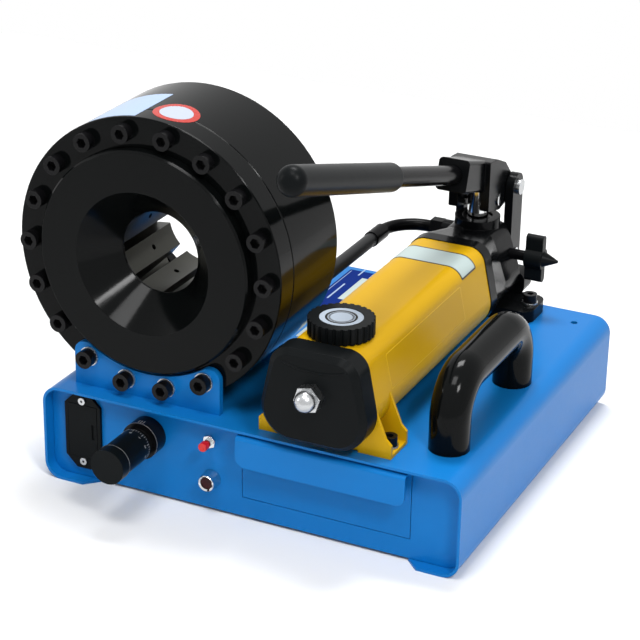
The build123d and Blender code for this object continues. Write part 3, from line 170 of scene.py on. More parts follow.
# ---------------------------------------------------------------- shared shader groups
class Groups:
    """Shader node groups that every material shares."""

    def __init__(self) -> None:
        self.smudge = self._smudge()
        self.wear = self._wear()
        self.dust = self._dust()
        self.relief = {kind: self._relief(kind) for kind in Surface}

    @staticmethod
    def _new(name: str, ins: Sequence[Tuple[str, str, float]], outs: Sequence[Tuple[str, str]]):
        """Makes an empty group.

        Args:
            name: group name.
            ins: (socket name, socket type, default) of each input.
            outs: (socket name, socket type) of each output.
        Returns:
            (group, input node, output node).
        """
        group = bpy.data.node_groups.new(name, "ShaderNodeTree")
        for title, kind, default in ins:
            socket = group.interface.new_socket(title, in_out="INPUT", socket_type=kind)
            if kind == "NodeSocketFloat":
                socket.default_value = default
        for title, kind in outs:
            group.interface.new_socket(title, in_out="OUTPUT", socket_type=kind)
        return group, group.nodes.new("NodeGroupInput"), group.nodes.new("NodeGroupOutput")

    @staticmethod
    def _noise(group, scale_from=None, scale: float = 5.0, detail: float = 3.0, stretch: Optional[Point] = None):
        """Noise on Object coordinates inside a group; returns its factor socket."""
        where = group.nodes.new("ShaderNodeTexCoord")
        noise = group.nodes.new("ShaderNodeTexNoise")
        noise.inputs["Detail"].default_value = detail
        noise.inputs["Scale"].default_value = scale
        source = where.outputs["Object"]
        if stretch is not None:
            mapping = group.nodes.new("ShaderNodeMapping")
            mapping.inputs["Scale"].default_value = stretch
            group.links.new(source, mapping.inputs["Vector"])
            source = mapping.outputs["Vector"]
        group.links.new(source, noise.inputs["Vector"])
        if scale_from is not None:
            group.links.new(scale_from, noise.inputs["Scale"])
        return noise.outputs["Fac"]

    @staticmethod
    def _math(group, kind: str, a, b=None, clamp: bool = False):
        """One Math node; a and b are sockets or numbers. Returns its output."""
        node = group.nodes.new("ShaderNodeMath")
        node.operation = kind
        node.use_clamp = clamp
        for i, value in enumerate((a, b)):
            if value is None:
                continue
            if isinstance(value, (int, float)):
                node.inputs[i].default_value = value
            else:
                group.links.new(value, node.inputs[i])
        return node.outputs[0]

    def _smudge(self):
        """Roughness around a middle value: broad handling marks and fine flecks."""
        group, gin, gout = self._new(
            "smudge",
            [("Middle", "NodeSocketFloat", 0.4), ("Spread", "NodeSocketFloat", 0.05)],
            [("Roughness", "NodeSocketFloat")],
        )
        broad = self._noise(group, scale=14.0, detail=4.0)
        fine = self._noise(group, scale=160.0, detail=2.0)
        both = self._math(group, "ADD", self._math(group, "MULTIPLY", broad, 1.5), fine)
        centred = self._math(group, "SUBTRACT", both, 1.25)
        offset = self._math(group, "MULTIPLY", centred, gin.outputs["Spread"])
        group.links.new(self._math(group, "ADD", gin.outputs["Middle"], offset, clamp=True), gout.inputs["Roughness"])
        return group

    def _wear(self):
        """Mask of rubbed edges: where a bevelled normal leaves the true one, broken up by noise."""
        group, gin, gout = self._new(
            "edge_wear",
            [("Amount", "NodeSocketFloat", 0.1), ("Radius", "NodeSocketFloat", 0.0008)],
            [("Mask", "NodeSocketFloat")],
        )
        bevel = group.nodes.new("ShaderNodeBevel")
        bevel.samples = 4
        group.links.new(gin.outputs["Radius"], bevel.inputs["Radius"])
        geometry = group.nodes.new("ShaderNodeNewGeometry")
        dot = group.nodes.new("ShaderNodeVectorMath")
        dot.operation = "DOT_PRODUCT"
        group.links.new(bevel.outputs["Normal"], dot.inputs[0])
        group.links.new(geometry.outputs["Normal"], dot.inputs[1])
        bend = self._math(group, "SUBTRACT", 1.0, dot.outputs["Value"])
        edge = self._math(group, "MULTIPLY", bend, 14.0, clamp=True)
        speck = self._noise(group, scale=420.0, detail=5.0)
        broken = self._math(group, "MULTIPLY", self._math(group, "SUBTRACT", speck, 0.42), 6.0, clamp=True)
        mask = self._math(group, "MULTIPLY", edge, broken)
        group.links.new(self._math(group, "MULTIPLY", mask, gin.outputs["Amount"], clamp=True), gout.inputs["Mask"])
        return group

    def _dust(self):
        """Mask of light dust on faces that look up."""
        group, gin, gout = self._new(
            "dust", [("Amount", "NodeSocketFloat", 0.05)], [("Mask", "NodeSocketFloat")]
        )
        geometry = group.nodes.new("ShaderNodeNewGeometry")
        split = group.nodes.new("ShaderNodeSeparateXYZ")
        group.links.new(geometry.outputs["Normal"], split.inputs[0])
        up = self._math(group, "MULTIPLY", self._math(group, "SUBTRACT", split.outputs["Z"], 0.25), 1.3, clamp=True)
        cloud = self._math(group, "ADD", self._noise(group, scale=22.0, detail=6.0), 0.15)
        mask = self._math(group, "MULTIPLY", up, cloud)
        group.links.new(self._math(group, "MULTIPLY", mask, gin.outputs["Amount"], clamp=True), gout.inputs["Mask"])
        return group

    def _relief(self, kind: Surface):
        """Normal of one relief kind over softly rounded edges."""
        group, gin, gout = self._new(
            f"relief_{kind.value}",
            [("Scale", "NodeSocketFloat", 900.0), ("Height", "NodeSocketFloat", 0.00001),
             ("Edge", "NodeSocketFloat", 0.0005)],
            [("Normal", "NodeSocketVector")],
        )
        bevel = group.nodes.new("ShaderNodeBevel")
        bevel.samples = 4
        group.links.new(gin.outputs["Edge"], bevel.inputs["Radius"])
        stretch = (1.0, 0.04, 1.0) if kind is Surface.BRUSHED else None
        detail = {Surface.PEEL: 1.0, Surface.CAST: 5.0}.get(kind, 3.0)
        height = self._noise(group, gin.outputs["Scale"], detail=detail, stretch=stretch)
        if kind is Surface.CAST:
            pits = self._noise(group, scale=130.0, detail=2.0)
            height = self._math(group, "ADD", height, self._math(group, "MULTIPLY", pits, 1.5))
        bump = group.nodes.new("ShaderNodeBump")
        bump.inputs["Strength"].default_value = 1.0
        group.links.new(gin.outputs["Height"], bump.inputs["Distance"])
        group.links.new(height, bump.inputs["Height"])
        group.links.new(bevel.outputs["Normal"], bump.inputs["Normal"])
        group.links.new(bump.outputs["Normal"], gout.inputs["Normal"])
        return group


class Paintbox:
    """Builds and caches one material per finish."""

    def __init__(self) -> None:
        self.groups = Groups()
        self.made: Dict[str, bpy.types.Material] = {}

    @staticmethod
    def _use(tree, group, **values: float):
        """Adds a group node with its inputs set."""
        node = tree.nodes.new("ShaderNodeGroup")
        node.node_tree = group
        for title, value in values.items():
            node.inputs[title].default_value = value
        return node

    def get(self, name: str) -> bpy.types.Material:
        """The material of a finish.

        Args:
            name: a key of FINISHES.
        Returns:
            the material, made on first use.
        """
        if name not in self.made:
            self.made[name] = self._build(FINISHES[name])
        return self.made[name]

    def _build(self, f: Finish) -> bpy.types.Material:
        material = bpy.data.materials.new(f.name)
        material.use_nodes = True
        tree = material.node_tree
        shader = next(n for n in tree.nodes if n.type == "BSDF_PRINCIPLED")
        shader.inputs["Metallic"].default_value = f.metallic
        shader.inputs["Specular IOR Level"].default_value = f.specular
        smudge = self._use(tree, self.groups.smudge, Middle=f.roughness, Spread=f.vary)
        tree.links.new(smudge.outputs["Roughness"], shader.inputs["Roughness"])
        relief = self._use(tree, self.groups.relief[f.surface], Scale=f.relief_scale, Height=f.relief * MM,
                           Edge=f.round_mm * MM)
        tree.links.new(relief.outputs["Normal"], shader.inputs["Normal"])
        colour = tree.nodes.new("ShaderNodeRGB")
        colour.outputs[0].default_value = (*f.colour, 1.0)
        source = colour.outputs[0]
        layers = (
            (self.groups.wear, {"Amount": f.wear, "Radius": f.round_mm * MM * 1.6}, f.wear, f.wear_colour),
            (self.groups.dust, {"Amount": f.dust}, f.dust, (0.42, 0.42, 0.42)),
        )
        for group, values, amount, under in layers:
            if amount <= 0:
                continue
            mask = self._use(tree, group, **values)
            mix = tree.nodes.new("ShaderNodeMix")
            mix.data_type = "RGBA"
            tree.links.new(mask.outputs["Mask"], mix.inputs[0])
            tree.links.new(source, mix.inputs[6])
            mix.inputs[7].default_value = (*under, 1.0)
            source = mix.outputs[2]
        tree.links.new(source, shader.inputs["Base Color"])
        return material


# ---------------------------------------------------------------- CAD nodes
SLOTS: Dict[str, str] = {s["node"]: s["material_slot"] for s in frame["record"]["subparts"]}
FINER: Dict[str, str] = {"lever_bar": "lever_black", "hose_fittings": "lever_black", "release_stem": "lever_black"}


def dress_frame(paints: Paintbox) -> None:
    """Gives every CAD node its procedural material."""
    for name, obj in frame["nodes"].items():
        obj.data.materials.clear()
        obj.data.materials.append(paints.get(FINER.get(name, SLOTS[name])))
        LOG.info("%s gets %s", name, SLOTS[name])


# ---------------------------------------------------------------- mesh helpers
Surf = Callable[[float, float], Tuple[Vector, Vector]]


@dataclass(frozen=True)
class Outline:
    """Rounded rectangle, or an ellipse when the corner is as large as the half sizes.

    Args:
        centre: middle on the surface, in millimetres along and across.
        half: half sizes in the same directions.
        corner: corner radius.
    """

    centre: Tuple[float, float]
    half: Tuple[float, float]
    corner: float = 0.0

    def rows(self, middle: int = 8, rounding: int = 6) -> List[Tuple[float, float]]:
        """Rows from one end to the other.

        Args:
            middle: rows in the straight part.
            rounding: rows in each rounded end.
        Returns:
            (place across, half width there) of each row.
        """
        a, b = self.half
        c = min(self.corner, a, b)
        end = []
        if c > 0:
            for i in range(rounding + 1):
                turn = math.radians(84 * (1 - i / rounding))
                end.append((b - c + c * math.sin(turn), a - c + c * math.cos(turn)))
        else:
            end.append((b, a))
        straight = [(-(b - c) + 2 * (b - c) * i / middle, a) for i in range(1, middle)] if b - c > 0.01 else []
        low = [(-t, w) for t, w in end]
        return low + straight + end[::-1]


class Workshop:
    """Makes finished pieces and keeps count of them."""

    def __init__(self, paints: "Paintbox") -> None:
        self.paints = paints
        self.count = 0

    def piece(self, name: str, points: Sequence[Sequence[float]], faces: Sequence[Sequence[int]], finish: str,
              body: str, smooth: bool = False) -> bpy.types.Object:
        """Makes one piece from points in millimetres.

        Args:
            name: the piece's name.
            points: corners.
            faces: corner numbers of each face.
            finish: a key of FINISHES.
            body: the body that the piece rides on.
            smooth: whether the faces are shaded smooth.
        Returns:
            the piece.
        """
        mesh = bpy.data.meshes.new(name)
        mesh.from_pydata([[c * MM for c in p] for p in points], [], [list(f) for f in faces])
        bm = bmesh.new()
        bm.from_mesh(mesh)
        bmesh.ops.remove_doubles(bm, verts=bm.verts, dist=1e-7)
        bmesh.ops.recalc_face_normals(bm, faces=bm.faces)
        for face in bm.faces:
            face.smooth = smooth
        bm.to_mesh(mesh)
        bm.free()
        return self.adopt(name, mesh, finish, body)

    def adopt(self, name: str, mesh: bpy.types.Mesh, finish: str, body: str) -> bpy.types.Object:
        """Finishes a mesh that is already in place and lets it ride on a body."""
        mesh.materials.clear()
        mesh.materials.append(self.paints.get(finish))
        obj = bpy.data.objects.new(name, mesh)
        bpy.context.scene.collection.objects.link(obj)
        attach(obj, body)
        self.count += 1
        LOG.info("piece %s on %s", name, body)
        return obj

    def patch(self, name: str, surface: Surf, outline: Outline, finish: str, body: str, lift: float = 0.12,
              columns: int = 16) -> bpy.types.Object:
        """Makes a thin closed sticker that follows a surface.

        Args:
            name: the piece's name.
            surface: gives the point and the outward normal at two surface coordinates.
            outline: its shape on the surface.
            finish: a key of FINISHES.
            body: the body that it rides on.
            lift: how far it stands off the surface, in millimetres.
            columns: divisions along each row.
        Returns:
            the piece.
        """
        rows = outline.rows()
        top: List[Vector] = []
        low: List[Vector] = []
        for across, half in rows:
            for i in range(columns + 1):
                along = outline.centre[0] + half * (2 * i / columns - 1)
                at, out = surface(along, outline.centre[1] + across)
                top.append(at + out * lift)
                low.append(at)
        wide = columns + 1
        count = len(rows)
        faces: List[Tuple[int, ...]] = []
        base = len(top)
        for j in range(count - 1):
            for i in range(columns):
                a = j * wide + i
                faces.append((a, a + 1, a + wide + 1, a + wide))
                faces.append((base + a, base + a + wide, base + a + wide + 1, base + a + 1))
        rim = [i for i in range(wide)]
        rim += [j * wide + columns for j in range(1, count)]
        rim += [(count - 1) * wide + i for i in range(columns - 1, -1, -1)]
        rim += [j * wide for j in range(count - 2, 0, -1)]
        for k, a in enumerate(rim):
            b = rim[(k + 1) % len(rim)]
            faces.append((b, a, base + a, base + b))
        return self.piece(name, top + low, faces, finish, body)

    def spun(self, name: str, axis: str, centre: Point, profile: Sequence[Tuple[float, float]], finish: str,
             body: str, steps: int = 72) -> bpy.types.Object:
        """Makes a ring by turning a closed profile.

        Args:
            name: the piece's name.
            axis: "Y" or "Z".
            centre: a point on the axis.
            profile: (radius, place along the axis from the centre) of each corner.
            finish: a key of FINISHES.
            body: the body that it rides on.
            steps: steps round the axis.
        Returns:
            the piece.
        """
        points: List[Point] = []
        for i in range(steps):
            turn = 2 * math.pi * i / steps
            for radius, along in profile:
                a, b = radius * math.sin(turn), radius * math.cos(turn)
                move = (a, along, b) if axis == "Y" else (a, b, along)
                points.append(tuple(c + m for c, m in zip(centre, move)))
        n = len(profile)
        faces = []
        for i in range(steps):
            for j in range(n):
                a, b = i * n + j, i * n + (j + 1) % n
                c, d = ((i + 1) % steps) * n + (j + 1) % n, ((i + 1) % steps) * n + j
                faces.append((a, b, c, d))
        return self.piece(name, points, faces, finish, body, smooth=True)

    def swept(self, name: str, path: Sequence[Point], radius: float, finish: str, body: str, sides: int = 10,
              wave: float = 0.0) -> bpy.types.Object:
        """Makes a bead along a line, closed at both ends.

        Args:
            name: the piece's name.
            path: points of the line.
            radius: the bead's radius.
            finish: a key of FINISHES.
            body: the body that it rides on.
            sides: sides of its section.
            wave: how much the radius swells along the bead, as a part of it.
        Returns:
            the piece.
        """
        line = [Vector(p) for p in path]
        points: List[Vector] = []
        for i, at in enumerate(line):
            ahead = (line[min(i + 1, len(line) - 1)] - line[max(i - 1, 0)]).normalized()
            side = ahead.cross(Vector((0.13, 0.29, 0.95))).normalized()
            up = side.cross(ahead)
            end = min(i, len(line) - 1 - i)
            thin = (0.45, 0.8)[end] if end < 2 else 1.0
            size = radius * thin * (1 + wave * math.sin(i * 2.1))
            for k in range(sides):
                turn = 2 * math.pi * k / sides
                points.append(at + (side * math.cos(turn) + up * math.sin(turn)) * size)
        faces: List[Tuple[int, ...]] = []
        for i in range(len(line) - 1):
            for k in range(sides):
                a, b = i * sides + k, i * sides + (k + 1) % sides
                faces.append((a, b, b + sides, a + sides))
        faces.append(tuple(range(sides))[::-1])
        faces.append(tuple((len(line) - 1) * sides + k for k in range(sides)))
        return self.piece(name, points, faces, finish, body, smooth=True)


def round_y(centre_x: float, centre_z: float, radius: float) -> Surf:
    """Cylinder along Y: coordinates are the arc clockwise from the top and the place along Y."""

    def at(arc: float, y: float) -> Tuple[Vector, Vector]:
        turn = arc / radius
        out = Vector((math.sin(turn), 0.0, math.cos(turn)))
        return Vector((centre_x, y, centre_z)) + out * radius, out

    return at


def level(z: float) -> Surf:
    """Flat top: coordinates are X and Y."""
    return lambda x, y: (Vector((x, y, z)), Vector((0.0, 0.0, 1.0)))


# ---------------------------------------------------------------- repeated marks
class Repeats:
    """Geometry Nodes tree that sets copies of one mesh round an axis along Y."""

    def __init__(self, shop: Workshop) -> None:
        self.shop = shop
        self.tree = bpy.data.node_groups.new("copies_round_axis", "GeometryNodeTree")
        self.sockets: Dict[str, str] = {}
        self._grow()

    def _grow(self) -> None:
        """Builds the tree: points on a circle, copies, realized, with their material."""
        tree = self.tree
        tree.interface.new_socket("Geometry", in_out="OUTPUT", socket_type="NodeSocketGeometry")
        for title, kind in (
            ("Mark", "NodeSocketObject"), ("Count", "NodeSocketInt"), ("Radius", "NodeSocketFloat"),
            ("First", "NodeSocketFloat"), ("Step", "NodeSocketFloat"), ("Centre", "NodeSocketVector"),
            ("Finish", "NodeSocketMaterial"),
        ):
            self.sockets[title] = tree.interface.new_socket(title, in_out="INPUT", socket_type=kind).identifier
        gin, gout = tree.nodes.new("NodeGroupInput"), tree.nodes.new("NodeGroupOutput")
        link = tree.links.new

        def maths(kind: str, a, b=None):
            """One Math node on sockets."""
            node = tree.nodes.new("ShaderNodeMath")
            node.operation = kind
            link(a, node.inputs[0])
            if b is not None:
                link(b, node.inputs[1])
            return node.outputs[0]

        index = tree.nodes.new("GeometryNodeInputIndex")
        turn = maths("ADD", gin.outputs["First"], maths("MULTIPLY", index.outputs[0], gin.outputs["Step"]))
        spot = tree.nodes.new("ShaderNodeCombineXYZ")
        link(maths("MULTIPLY", maths("SINE", turn), gin.outputs["Radius"]), spot.inputs["X"])
        link(maths("MULTIPLY", maths("COSINE", turn), gin.outputs["Radius"]), spot.inputs["Z"])
        add = tree.nodes.new("ShaderNodeVectorMath")
        add.operation = "ADD"
        link(spot.outputs[0], add.inputs[0])
        link(gin.outputs["Centre"], add.inputs[1])
        points = tree.nodes.new("GeometryNodePoints")
        link(gin.outputs["Count"], points.inputs["Count"])
        link(add.outputs[0], points.inputs["Position"])
        lean = tree.nodes.new("ShaderNodeCombineXYZ")
        link(turn, lean.inputs["Y"])
        info = tree.nodes.new("GeometryNodeObjectInfo")
        info.transform_space = "ORIGINAL"
        link(gin.outputs["Mark"], info.inputs["Object"])
        copies = tree.nodes.new("GeometryNodeInstanceOnPoints")
        link(points.outputs[0], copies.inputs["Points"])
        link(info.outputs["Geometry"], copies.inputs["Instance"])
        link(lean.outputs[0], copies.inputs["Rotation"])
        real = tree.nodes.new("GeometryNodeRealizeInstances")
        link(copies.outputs[0], real.inputs[0])
        paint = tree.nodes.new("GeometryNodeSetMaterial")
        link(real.outputs[0], paint.inputs["Geometry"])
        link(gin.outputs["Finish"], paint.inputs["Material"])
        link(paint.outputs[0], gout.inputs["Geometry"])

    def ring(self, name: str, size: Point, count: int, radius: float, centre: Point, finish: str, body: str,
             first: float = 0.0, step: Optional[float] = None) -> bpy.types.Object:
        """Makes a ring of small bars.

        Args:
            name: the piece's name.
            size: a bar's width round the axis, length along it and height, in millimetres.
            count: how many bars.
            radius: radius of the surface that they stand on.
            centre: a point on the axis, in the bars' middle plane.
            finish: a key of FINISHES.
            body: the body that they ride on.
            first: the first bar's angle from the top, in degrees clockwise.
            step: angle between bars, in degrees; a full circle is shared out by default.
        Returns:
            the piece.
        """
        bm = bmesh.new()
        bmesh.ops.create_cube(bm, size=1.0)
        for vert in bm.verts:
            taper = 0.8 if vert.co.z > 0 else 1.0
            vert.co = Vector((vert.co.x * size[0] * taper, vert.co.y * size[1] * taper, vert.co.z * size[2])) * MM
        source_mesh = bpy.data.meshes.new(name + "_one")
        bm.to_mesh(source_mesh)
        bm.free()
        source = bpy.data.objects.new(name + "_one", source_mesh)
        bpy.context.scene.collection.objects.link(source)
        holder = bpy.data.objects.new(name + "_maker", bpy.data.meshes.new(name + "_maker"))
        bpy.context.scene.collection.objects.link(holder)
        modifier = holder.modifiers.new("copies", "NODES")
        modifier.node_group = self.tree
        values = {
            "Mark": source, "Count": count, "Radius": radius * MM, "First": math.radians(first),
            "Step": math.radians(360.0 / count if step is None else step),
            "Centre": tuple(c * MM for c in centre), "Finish": self.shop.paints.get(finish),
        }
        for title, value in values.items():
            modifier[self.sockets[title]] = value
        bpy.context.view_layer.update()
        ready = holder.evaluated_get(bpy.context.evaluated_depsgraph_get())
        mesh = bpy.data.meshes.new_from_object(ready)
        mesh.name = name
        holder.modifiers.remove(modifier)
        bpy.data.objects.remove(holder)
        bpy.data.objects.remove(source)
        return self.shop.adopt(name, mesh, finish, body)


# ---------------------------------------------------------------- sub-assemblies
@dataclass
class HeadTrim:
    """Blank labels on the crimp head."""

    axis_x: float = -88.0
    axis_z: float = 216.5
    radius: float = 126.0
    plate: Outline = Outline((-35.0, -100.5), (23.5, 32.5), 0.6)
    disc: Outline = Outline((14.2, -108.6), (20.0, 20.0), 20.0)
    disc_white: Outline = Outline((14.2, -108.6), (14.4, 14.4), 14.4)

    def build(self, shop: Workshop) -> None:
        """Sets the labels on the barrel."""
        barrel = round_y(self.axis_x, self.axis_z, self.radius)
        shop.patch("head_label", barrel, self.plate, "label_and_highlight_white", "machine", lift=0.15, columns=24)
        shop.patch("round_label_rim", barrel, self.disc, "label_red", "machine", lift=0.15, columns=20)
        shop.patch("round_label_middle", barrel, self.disc_white, "label_bright", "machine", lift=0.22, columns=20)


@dataclass
class TankTrim:
    """Blank labels on the tank."""

    middle_x: float = 85.0
    low_z: float = 101.4
    high_z: float = 179.4
    top_half: float = 34.3
    low_half: float = 51.5
    top_round: float = 16.0
    label: Outline = Outline((0.0, 71.6), (41.5, 16.4), 2.0)
    side: Outline = Outline((60.2, -31.5), (15.6, 80.5), 2.0)

    def skin(self, arc: float, y: float) -> Tuple[Vector, Vector]:
        """Point on the tank: arc along its section from the top's middle, and the place along Y."""
        side, far = (1.0 if arc >= 0 else -1.0), abs(arc)
        slope = Vector((self.low_half - self.top_half, 0.0, self.low_z - self.high_z)).normalized()
        bend = math.acos(max(-1.0, min(1.0, slope.x)))
        flat = self.top_half - self.top_round * math.tan(bend / 2)
        middle = Vector((flat, 0.0, self.high_z - self.top_round))
        if far <= flat:
            at, out = Vector((far, 0.0, self.high_z)), Vector((0.0, 0.0, 1.0))
        elif far <= flat + self.top_round * bend:
            turn = (far - flat) / self.top_round
            out = Vector((math.sin(turn), 0.0, math.cos(turn)))
            at = middle + out * self.top_round
        else:
            out = Vector((math.sin(bend), 0.0, math.cos(bend)))
            at = middle + out * self.top_round + slope * (far - flat - self.top_round * bend)
        return (
            Vector((self.middle_x + side * at.x, y, at.z)),
            Vector((side * out.x, 0.0, out.z)),
        )

    def build(self, shop: Workshop) -> None:
        """Sets the labels on the tank."""
        inner = Outline(self.label.centre, (self.label.half[0] - 1.7, self.label.half[1] - 1.7), 1.4)
        shop.patch("tank_label_border", self.skin, self.label, "label_ink", "machine", lift=0.12, columns=48)
        shop.patch("tank_label", self.skin, inner, "label_pale", "machine", lift=0.18, columns=48)
        film = Outline(self.side.centre, (self.side.half[0] - 0.6, self.side.half[1] - 0.6), 1.6)
        shop.patch("tank_side_film_edge", self.skin, self.side, "film_edge", "machine", lift=0.10, columns=8)
        shop.patch("tank_side_film", self.skin, film, "film_yellow", "machine", lift=0.14, columns=8)


@dataclass
class PumpTrim:
    """Ridge on the tank's cap and rings on the filler."""

    cap_y: float = -174.0
    ridge: Tuple[Tuple[float, float], ...] = (
        (57.5, 171.4), (70.0, 168.2), (86.0, 167.0), (102.0, 168.4), (115.5, 172.0),
    )
    filler: Point = (85.0, -119.0, 0.0)

    def build(self, shop: Workshop) -> None:
        """Sets the pieces on the pump."""
        line = [
            self._curve(i / 24.0) for i in range(25)
        ]
        shop.swept("cap_ridge", [(x, self.cap_y + 0.15, z) for x, z in line], 1.0, "cap_plastic", "machine")
        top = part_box("filler_cap_disc")[1][2] / MM
        for name, outer, inner in (("filler_ring_outer", 13.6, 11.6), ("filler_ring_inner", 10.9, 9.3)):
            shop.spun(name, "Z", (self.filler[0], self.filler[1], top),
                      [(outer, -0.05), (outer, 0.08), (inner, 0.08), (inner, -0.05)],
                      "label_ink" if name.endswith("outer") else "label_grey", "filler")

    def _curve(self, share: float) -> Tuple[float, float]:
        """Place on the ridge's line, from one end to the other."""
        spot = share * (len(self.ridge) - 1)
        i = min(int(spot), len(self.ridge) - 2)
        part = spot - i
        before = self.ridge[max(i - 1, 0)]
        a, b = self.ridge[i], self.ridge[i + 1]
        after = self.ridge[min(i + 2, len(self.ridge) - 1)]
        return tuple(
            0.5 * (2 * q + (r - p) * part + (2 * p - 5 * q + 4 * r - s) * part ** 2
                   + (3 * q - p - 3 * r + s) * part ** 3)
            for p, q, r, s in zip(before, a, b, after)
        )


@dataclass
class BasePlate:
    """Blank plates on the cabinet's top, with a painted highlight along the data plate's left edge."""

    top_z: float = 90.0
    plate: Outline = Outline((-22.0, 140.0), (33.0, 64.0), 1.5)
    box: Outline = Outline((-28.9, 160.0), (6.4, 28.5), 0.4)
    lines: Tuple[Outline, ...] = (
        Outline((-44.6, 148.0), (0.9, 20.0), 0.3),
        Outline((-41.6, 201.0), (0.8, 8.0), 0.3),
        Outline((-28.8, 197.0), (0.8, 5.5), 0.3),
        # This long thin stripe is a painted highlight along the data plate's left edge.
        Outline((-52.6, 140.0), (0.35, 61.0), 0.2),
    )
    small: Outline = Outline((-19.5, 47.0), (13.0, 12.0), 0.6)

    def build(self, shop: Workshop) -> None:
        """Sets the plates on the cabinet."""
        top = level(self.top_z)
        shop.patch("data_plate", top, self.plate, "label_blue", "machine", lift=0.3)
        shop.patch("data_plate_box", top, self.box, "label_pale", "machine", lift=0.38)
        # The first three lines are print; the fourth is the painted edge highlight.
        for i, outline in enumerate(self.lines):
            shop.patch(f"data_plate_line_{i + 1}", top, outline, "label_and_highlight_white", "machine", lift=0.38)
        shop.patch("small_label", top, self.small, "label_pale", "machine", lift=0.2)


@dataclass
class AdjusterMarks:
    """Scale on the stroke adjuster, with a painted highlight round its cap."""

    x: float = -82.8
    z: float = 60.0
    knob_r: float = 15.0
    collar_r: float = 17.0
    cap_r: float = 15.8
    knob_back: float = -172.0
    cap_back: float = -206.5
    collar_front: float = -164.5
    digits: str = "0123456789"

    def build(self, shop: Workshop, repeats: Repeats) -> None:
        """Sets ticks, numbers, a white line round the collar and a painted highlight round the cap's back edge."""
        # The cap's ring is a painted highlight along its back edge; the collar's ring is a thin white line near its
        # front edge.
        ring = (("adjuster_ring_line", self.collar_r, self.collar_front + 0.9, "machine"),
                ("adjuster_cap_line", self.cap_r, self.cap_back - 0.9, "adjuster_thimble"))
        for name, radius, y, body in ring:
            shop.spun(name, "Y", (self.x, y, self.z),
                      [(radius - 0.1, -0.1), (radius + 0.05, -0.1), (radius + 0.05, 0.1), (radius - 0.1, 0.1)],
                      "mark_and_highlight_white", body)
        repeats.ring("adjuster_ticks", (0.32, 2.0, 0.12), 40, self.knob_r, (self.x, self.knob_back - 1.5, self.z),
                     "mark_and_highlight_white", "adjuster_thimble")
        repeats.ring("adjuster_long_ticks", (0.38, 3.6, 0.14), 10, self.knob_r, (self.x, self.knob_back - 2.3, self.z),
                     "mark_and_highlight_white", "adjuster_thimble")
        repeats.ring("adjuster_index_ticks", (0.35, 5.0, 0.12), 3, self.collar_r,
                     (self.x, self.collar_front + 4.2, self.z), "mark_and_highlight_white", "machine", first=-8.0, step=8.0)
        self._numbers(shop)

    def _numbers(self, shop: Workshop) -> None:
        """Plain numbers round the knob, bent on to its surface."""
        curve = bpy.data.curves.new("adjuster_numbers_text", "FONT")
        curve.size = 3.4
        curve.extrude = 0.05
        curve.align_x = "CENTER"
        joined = bmesh.new()
        for i, digit in enumerate(self.digits):
            curve.body = digit
            text = bpy.data.objects.new("adjuster_numbers_text", curve)
            bpy.context.scene.collection.objects.link(text)
            bpy.context.view_layer.update()
            mesh = bpy.data.meshes.new_from_object(text.evaluated_get(bpy.context.evaluated_depsgraph_get()))
            bpy.data.objects.remove(text)
            turn = 2 * math.pi * i / len(self.digits)
            for vert in mesh.vertices:
                side, up, proud = vert.co
                angle = turn + up / self.knob_r - 0.08
                radius = self.knob_r + 0.04 + proud
                vert.co = Vector((
                    self.x + radius * math.sin(angle),
                    self.knob_back - 7.0 - side,
                    self.z + radius * math.cos(angle),
                )) * MM
            joined.from_mesh(mesh)
            bpy.data.meshes.remove(mesh)
        bmesh.ops.remove_doubles(joined, verts=joined.verts, dist=1e-7)
        bmesh.ops.recalc_face_normals(joined, faces=joined.faces)
        mesh = bpy.data.meshes.new("adjuster_numbers")
        joined.to_mesh(mesh)
        joined.free()
        bpy.data.curves.remove(curve)
        shop.adopt("adjuster_numbers", mesh, "mark_and_highlight_white", "adjuster_thimble")


# ---------------------------------------------------------------- stage
def area_light(name: str, at: Point, to: Point, size: Tuple[float, float], power: float) -> None:
    """Adds a rectangular soft box that looks from one point to another."""
    data = bpy.data.lights.new(name, "AREA")
    data.shape = "RECTANGLE"
    data.size, data.size_y = size
    data.energy = power
    lamp = bpy.data.objects.new(name, data)
    lamp.location = at
    lamp.rotation_euler = (Vector(to) - Vector(at)).to_track_quat("-Z", "Y").to_euler()
    bpy.context.scene.collection.objects.link(lamp)


FLOOR_HALF = 1.0  # metres, from the middle to the floor's edge
FLOOR_WHITE = (0.92, 0.92, 0.92, 1)
WORLD_FILL = 0.34  # strength of the world as a light
WORLD_SEEN = 1.0  # strength of the world as a background
AIM = (0.0, 0.0, 0.15)
LAMPS: Tuple[Tuple[str, Point, Tuple[float, float], float], ...] = (
    ("key", (1.5, -1.3, 2.0), (0.5, 0.5), 30.0),
    ("top", (-0.2, 0.6, 2.5), (0.9, 0.6), 46.0),
    ("side", (-1.9, -1.3, 1.0), (0.35, 0.8), 7.0),
    ("brow", (0.1, -1.05, 2.4), (0.9, 0.7), 22.0),
)
CAMERA_LENS = 117.63  # mm, on a sensor of 36 mm
CAMERA_AT = (0.74221, -1.54398, 0.88885)
CAMERA_RIGHT = (0.90016, 0.43528, 0.01582)
CAMERA_UP = (-0.18996, 0.35962, 0.91356)
CAMERA_FORWARD = (-0.39196, 0.82535, -0.40640)


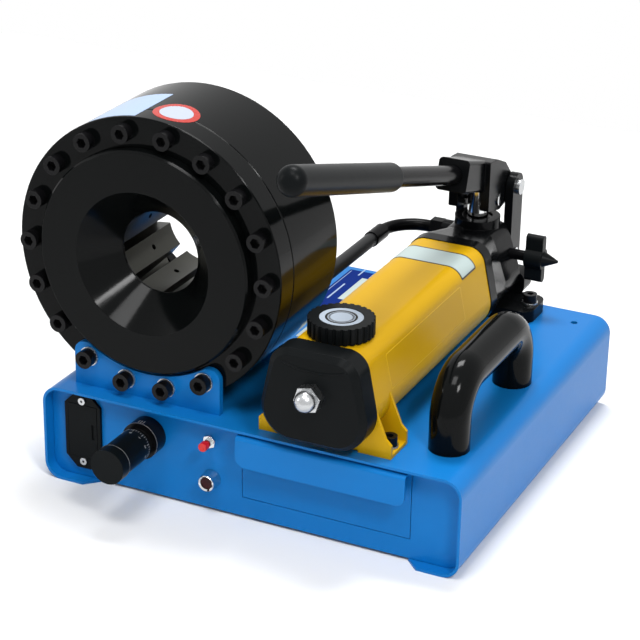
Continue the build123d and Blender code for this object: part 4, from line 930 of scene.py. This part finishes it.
def build_stage() -> None:
    """Floor, light, world and camera."""
    mesh = bpy.data.meshes.new("studio_floor")
    bm = bmesh.new()
    bmesh.ops.create_grid(bm, x_segments=1, y_segments=1, size=FLOOR_HALF)
    bm.to_mesh(mesh)
    bm.free()
    floor = bpy.data.objects.new("studio_floor", mesh)
    bpy.context.scene.collection.objects.link(floor)
    material = bpy.data.materials.new("studio_floor")
    material.use_nodes = True
    tree = material.node_tree
    shader = next(n for n in tree.nodes if n.type == "BSDF_PRINCIPLED")
    shader.inputs["Base Color"].default_value = FLOOR_WHITE
    shader.inputs["Roughness"].default_value = 0.9
    mesh.materials.append(material)

    world = bpy.data.worlds.new("studio")
    bpy.context.scene.world = world
    world.use_nodes = True
    tree = world.node_tree
    background = next(n for n in tree.nodes if n.type == "BACKGROUND")
    path = tree.nodes.new("ShaderNodeLightPath")
    strength = tree.nodes.new("ShaderNodeMix")
    strength.data_type = "FLOAT"
    strength.inputs[2].default_value = WORLD_FILL
    strength.inputs[3].default_value = WORLD_SEEN
    seen = path.outputs["Is Camera Ray"]
    for ray in ("Is Glossy Ray", "Is Transmission Ray"):
        either = tree.nodes.new("ShaderNodeMath")
        either.operation = "MAXIMUM"
        tree.links.new(seen, either.inputs[0])
        tree.links.new(path.outputs[ray], either.inputs[1])
        seen = either.outputs[0]
    tree.links.new(seen, strength.inputs[0])
    tree.links.new(strength.outputs[0], background.inputs["Strength"])
    background.inputs["Color"].default_value = (1, 1, 1, 1)

    for name, at, size, power in LAMPS:
        area_light(name, at, AIM, size, power)

    camera_data = bpy.data.cameras.new("camera")
    camera_data.lens = CAMERA_LENS
    camera_data.sensor_width = 36.0
    camera_data.sensor_fit = "HORIZONTAL"
    camera_data.clip_end = 60.0
    camera = bpy.data.objects.new("camera", camera_data)
    right, up, forward = Vector(CAMERA_RIGHT), Vector(CAMERA_UP), Vector(CAMERA_FORWARD)
    pose = Matrix((right, up, -forward)).transposed().to_4x4()
    pose.translation = Vector(CAMERA_AT)
    camera.matrix_world = pose
    bpy.context.scene.collection.objects.link(camera)
    bpy.context.scene.camera = camera
    bpy.context.scene.view_settings.view_transform = "Standard"


def main() -> None:
    """Builds the whole scene."""
    logging.basicConfig(level=logging.WARNING)
    paints = Paintbox()
    dress_frame(paints)
    shop = Workshop(paints)
    repeats = Repeats(shop)
    HeadTrim().build(shop)
    TankTrim().build(shop)
    PumpTrim().build(shop)
    BasePlate().build(shop)
    AdjusterMarks().build(shop, repeats)
    LOG.info("%d pieces beside the frame", shop.count)
    build_stage()


if __name__ == "__main__":
    main()
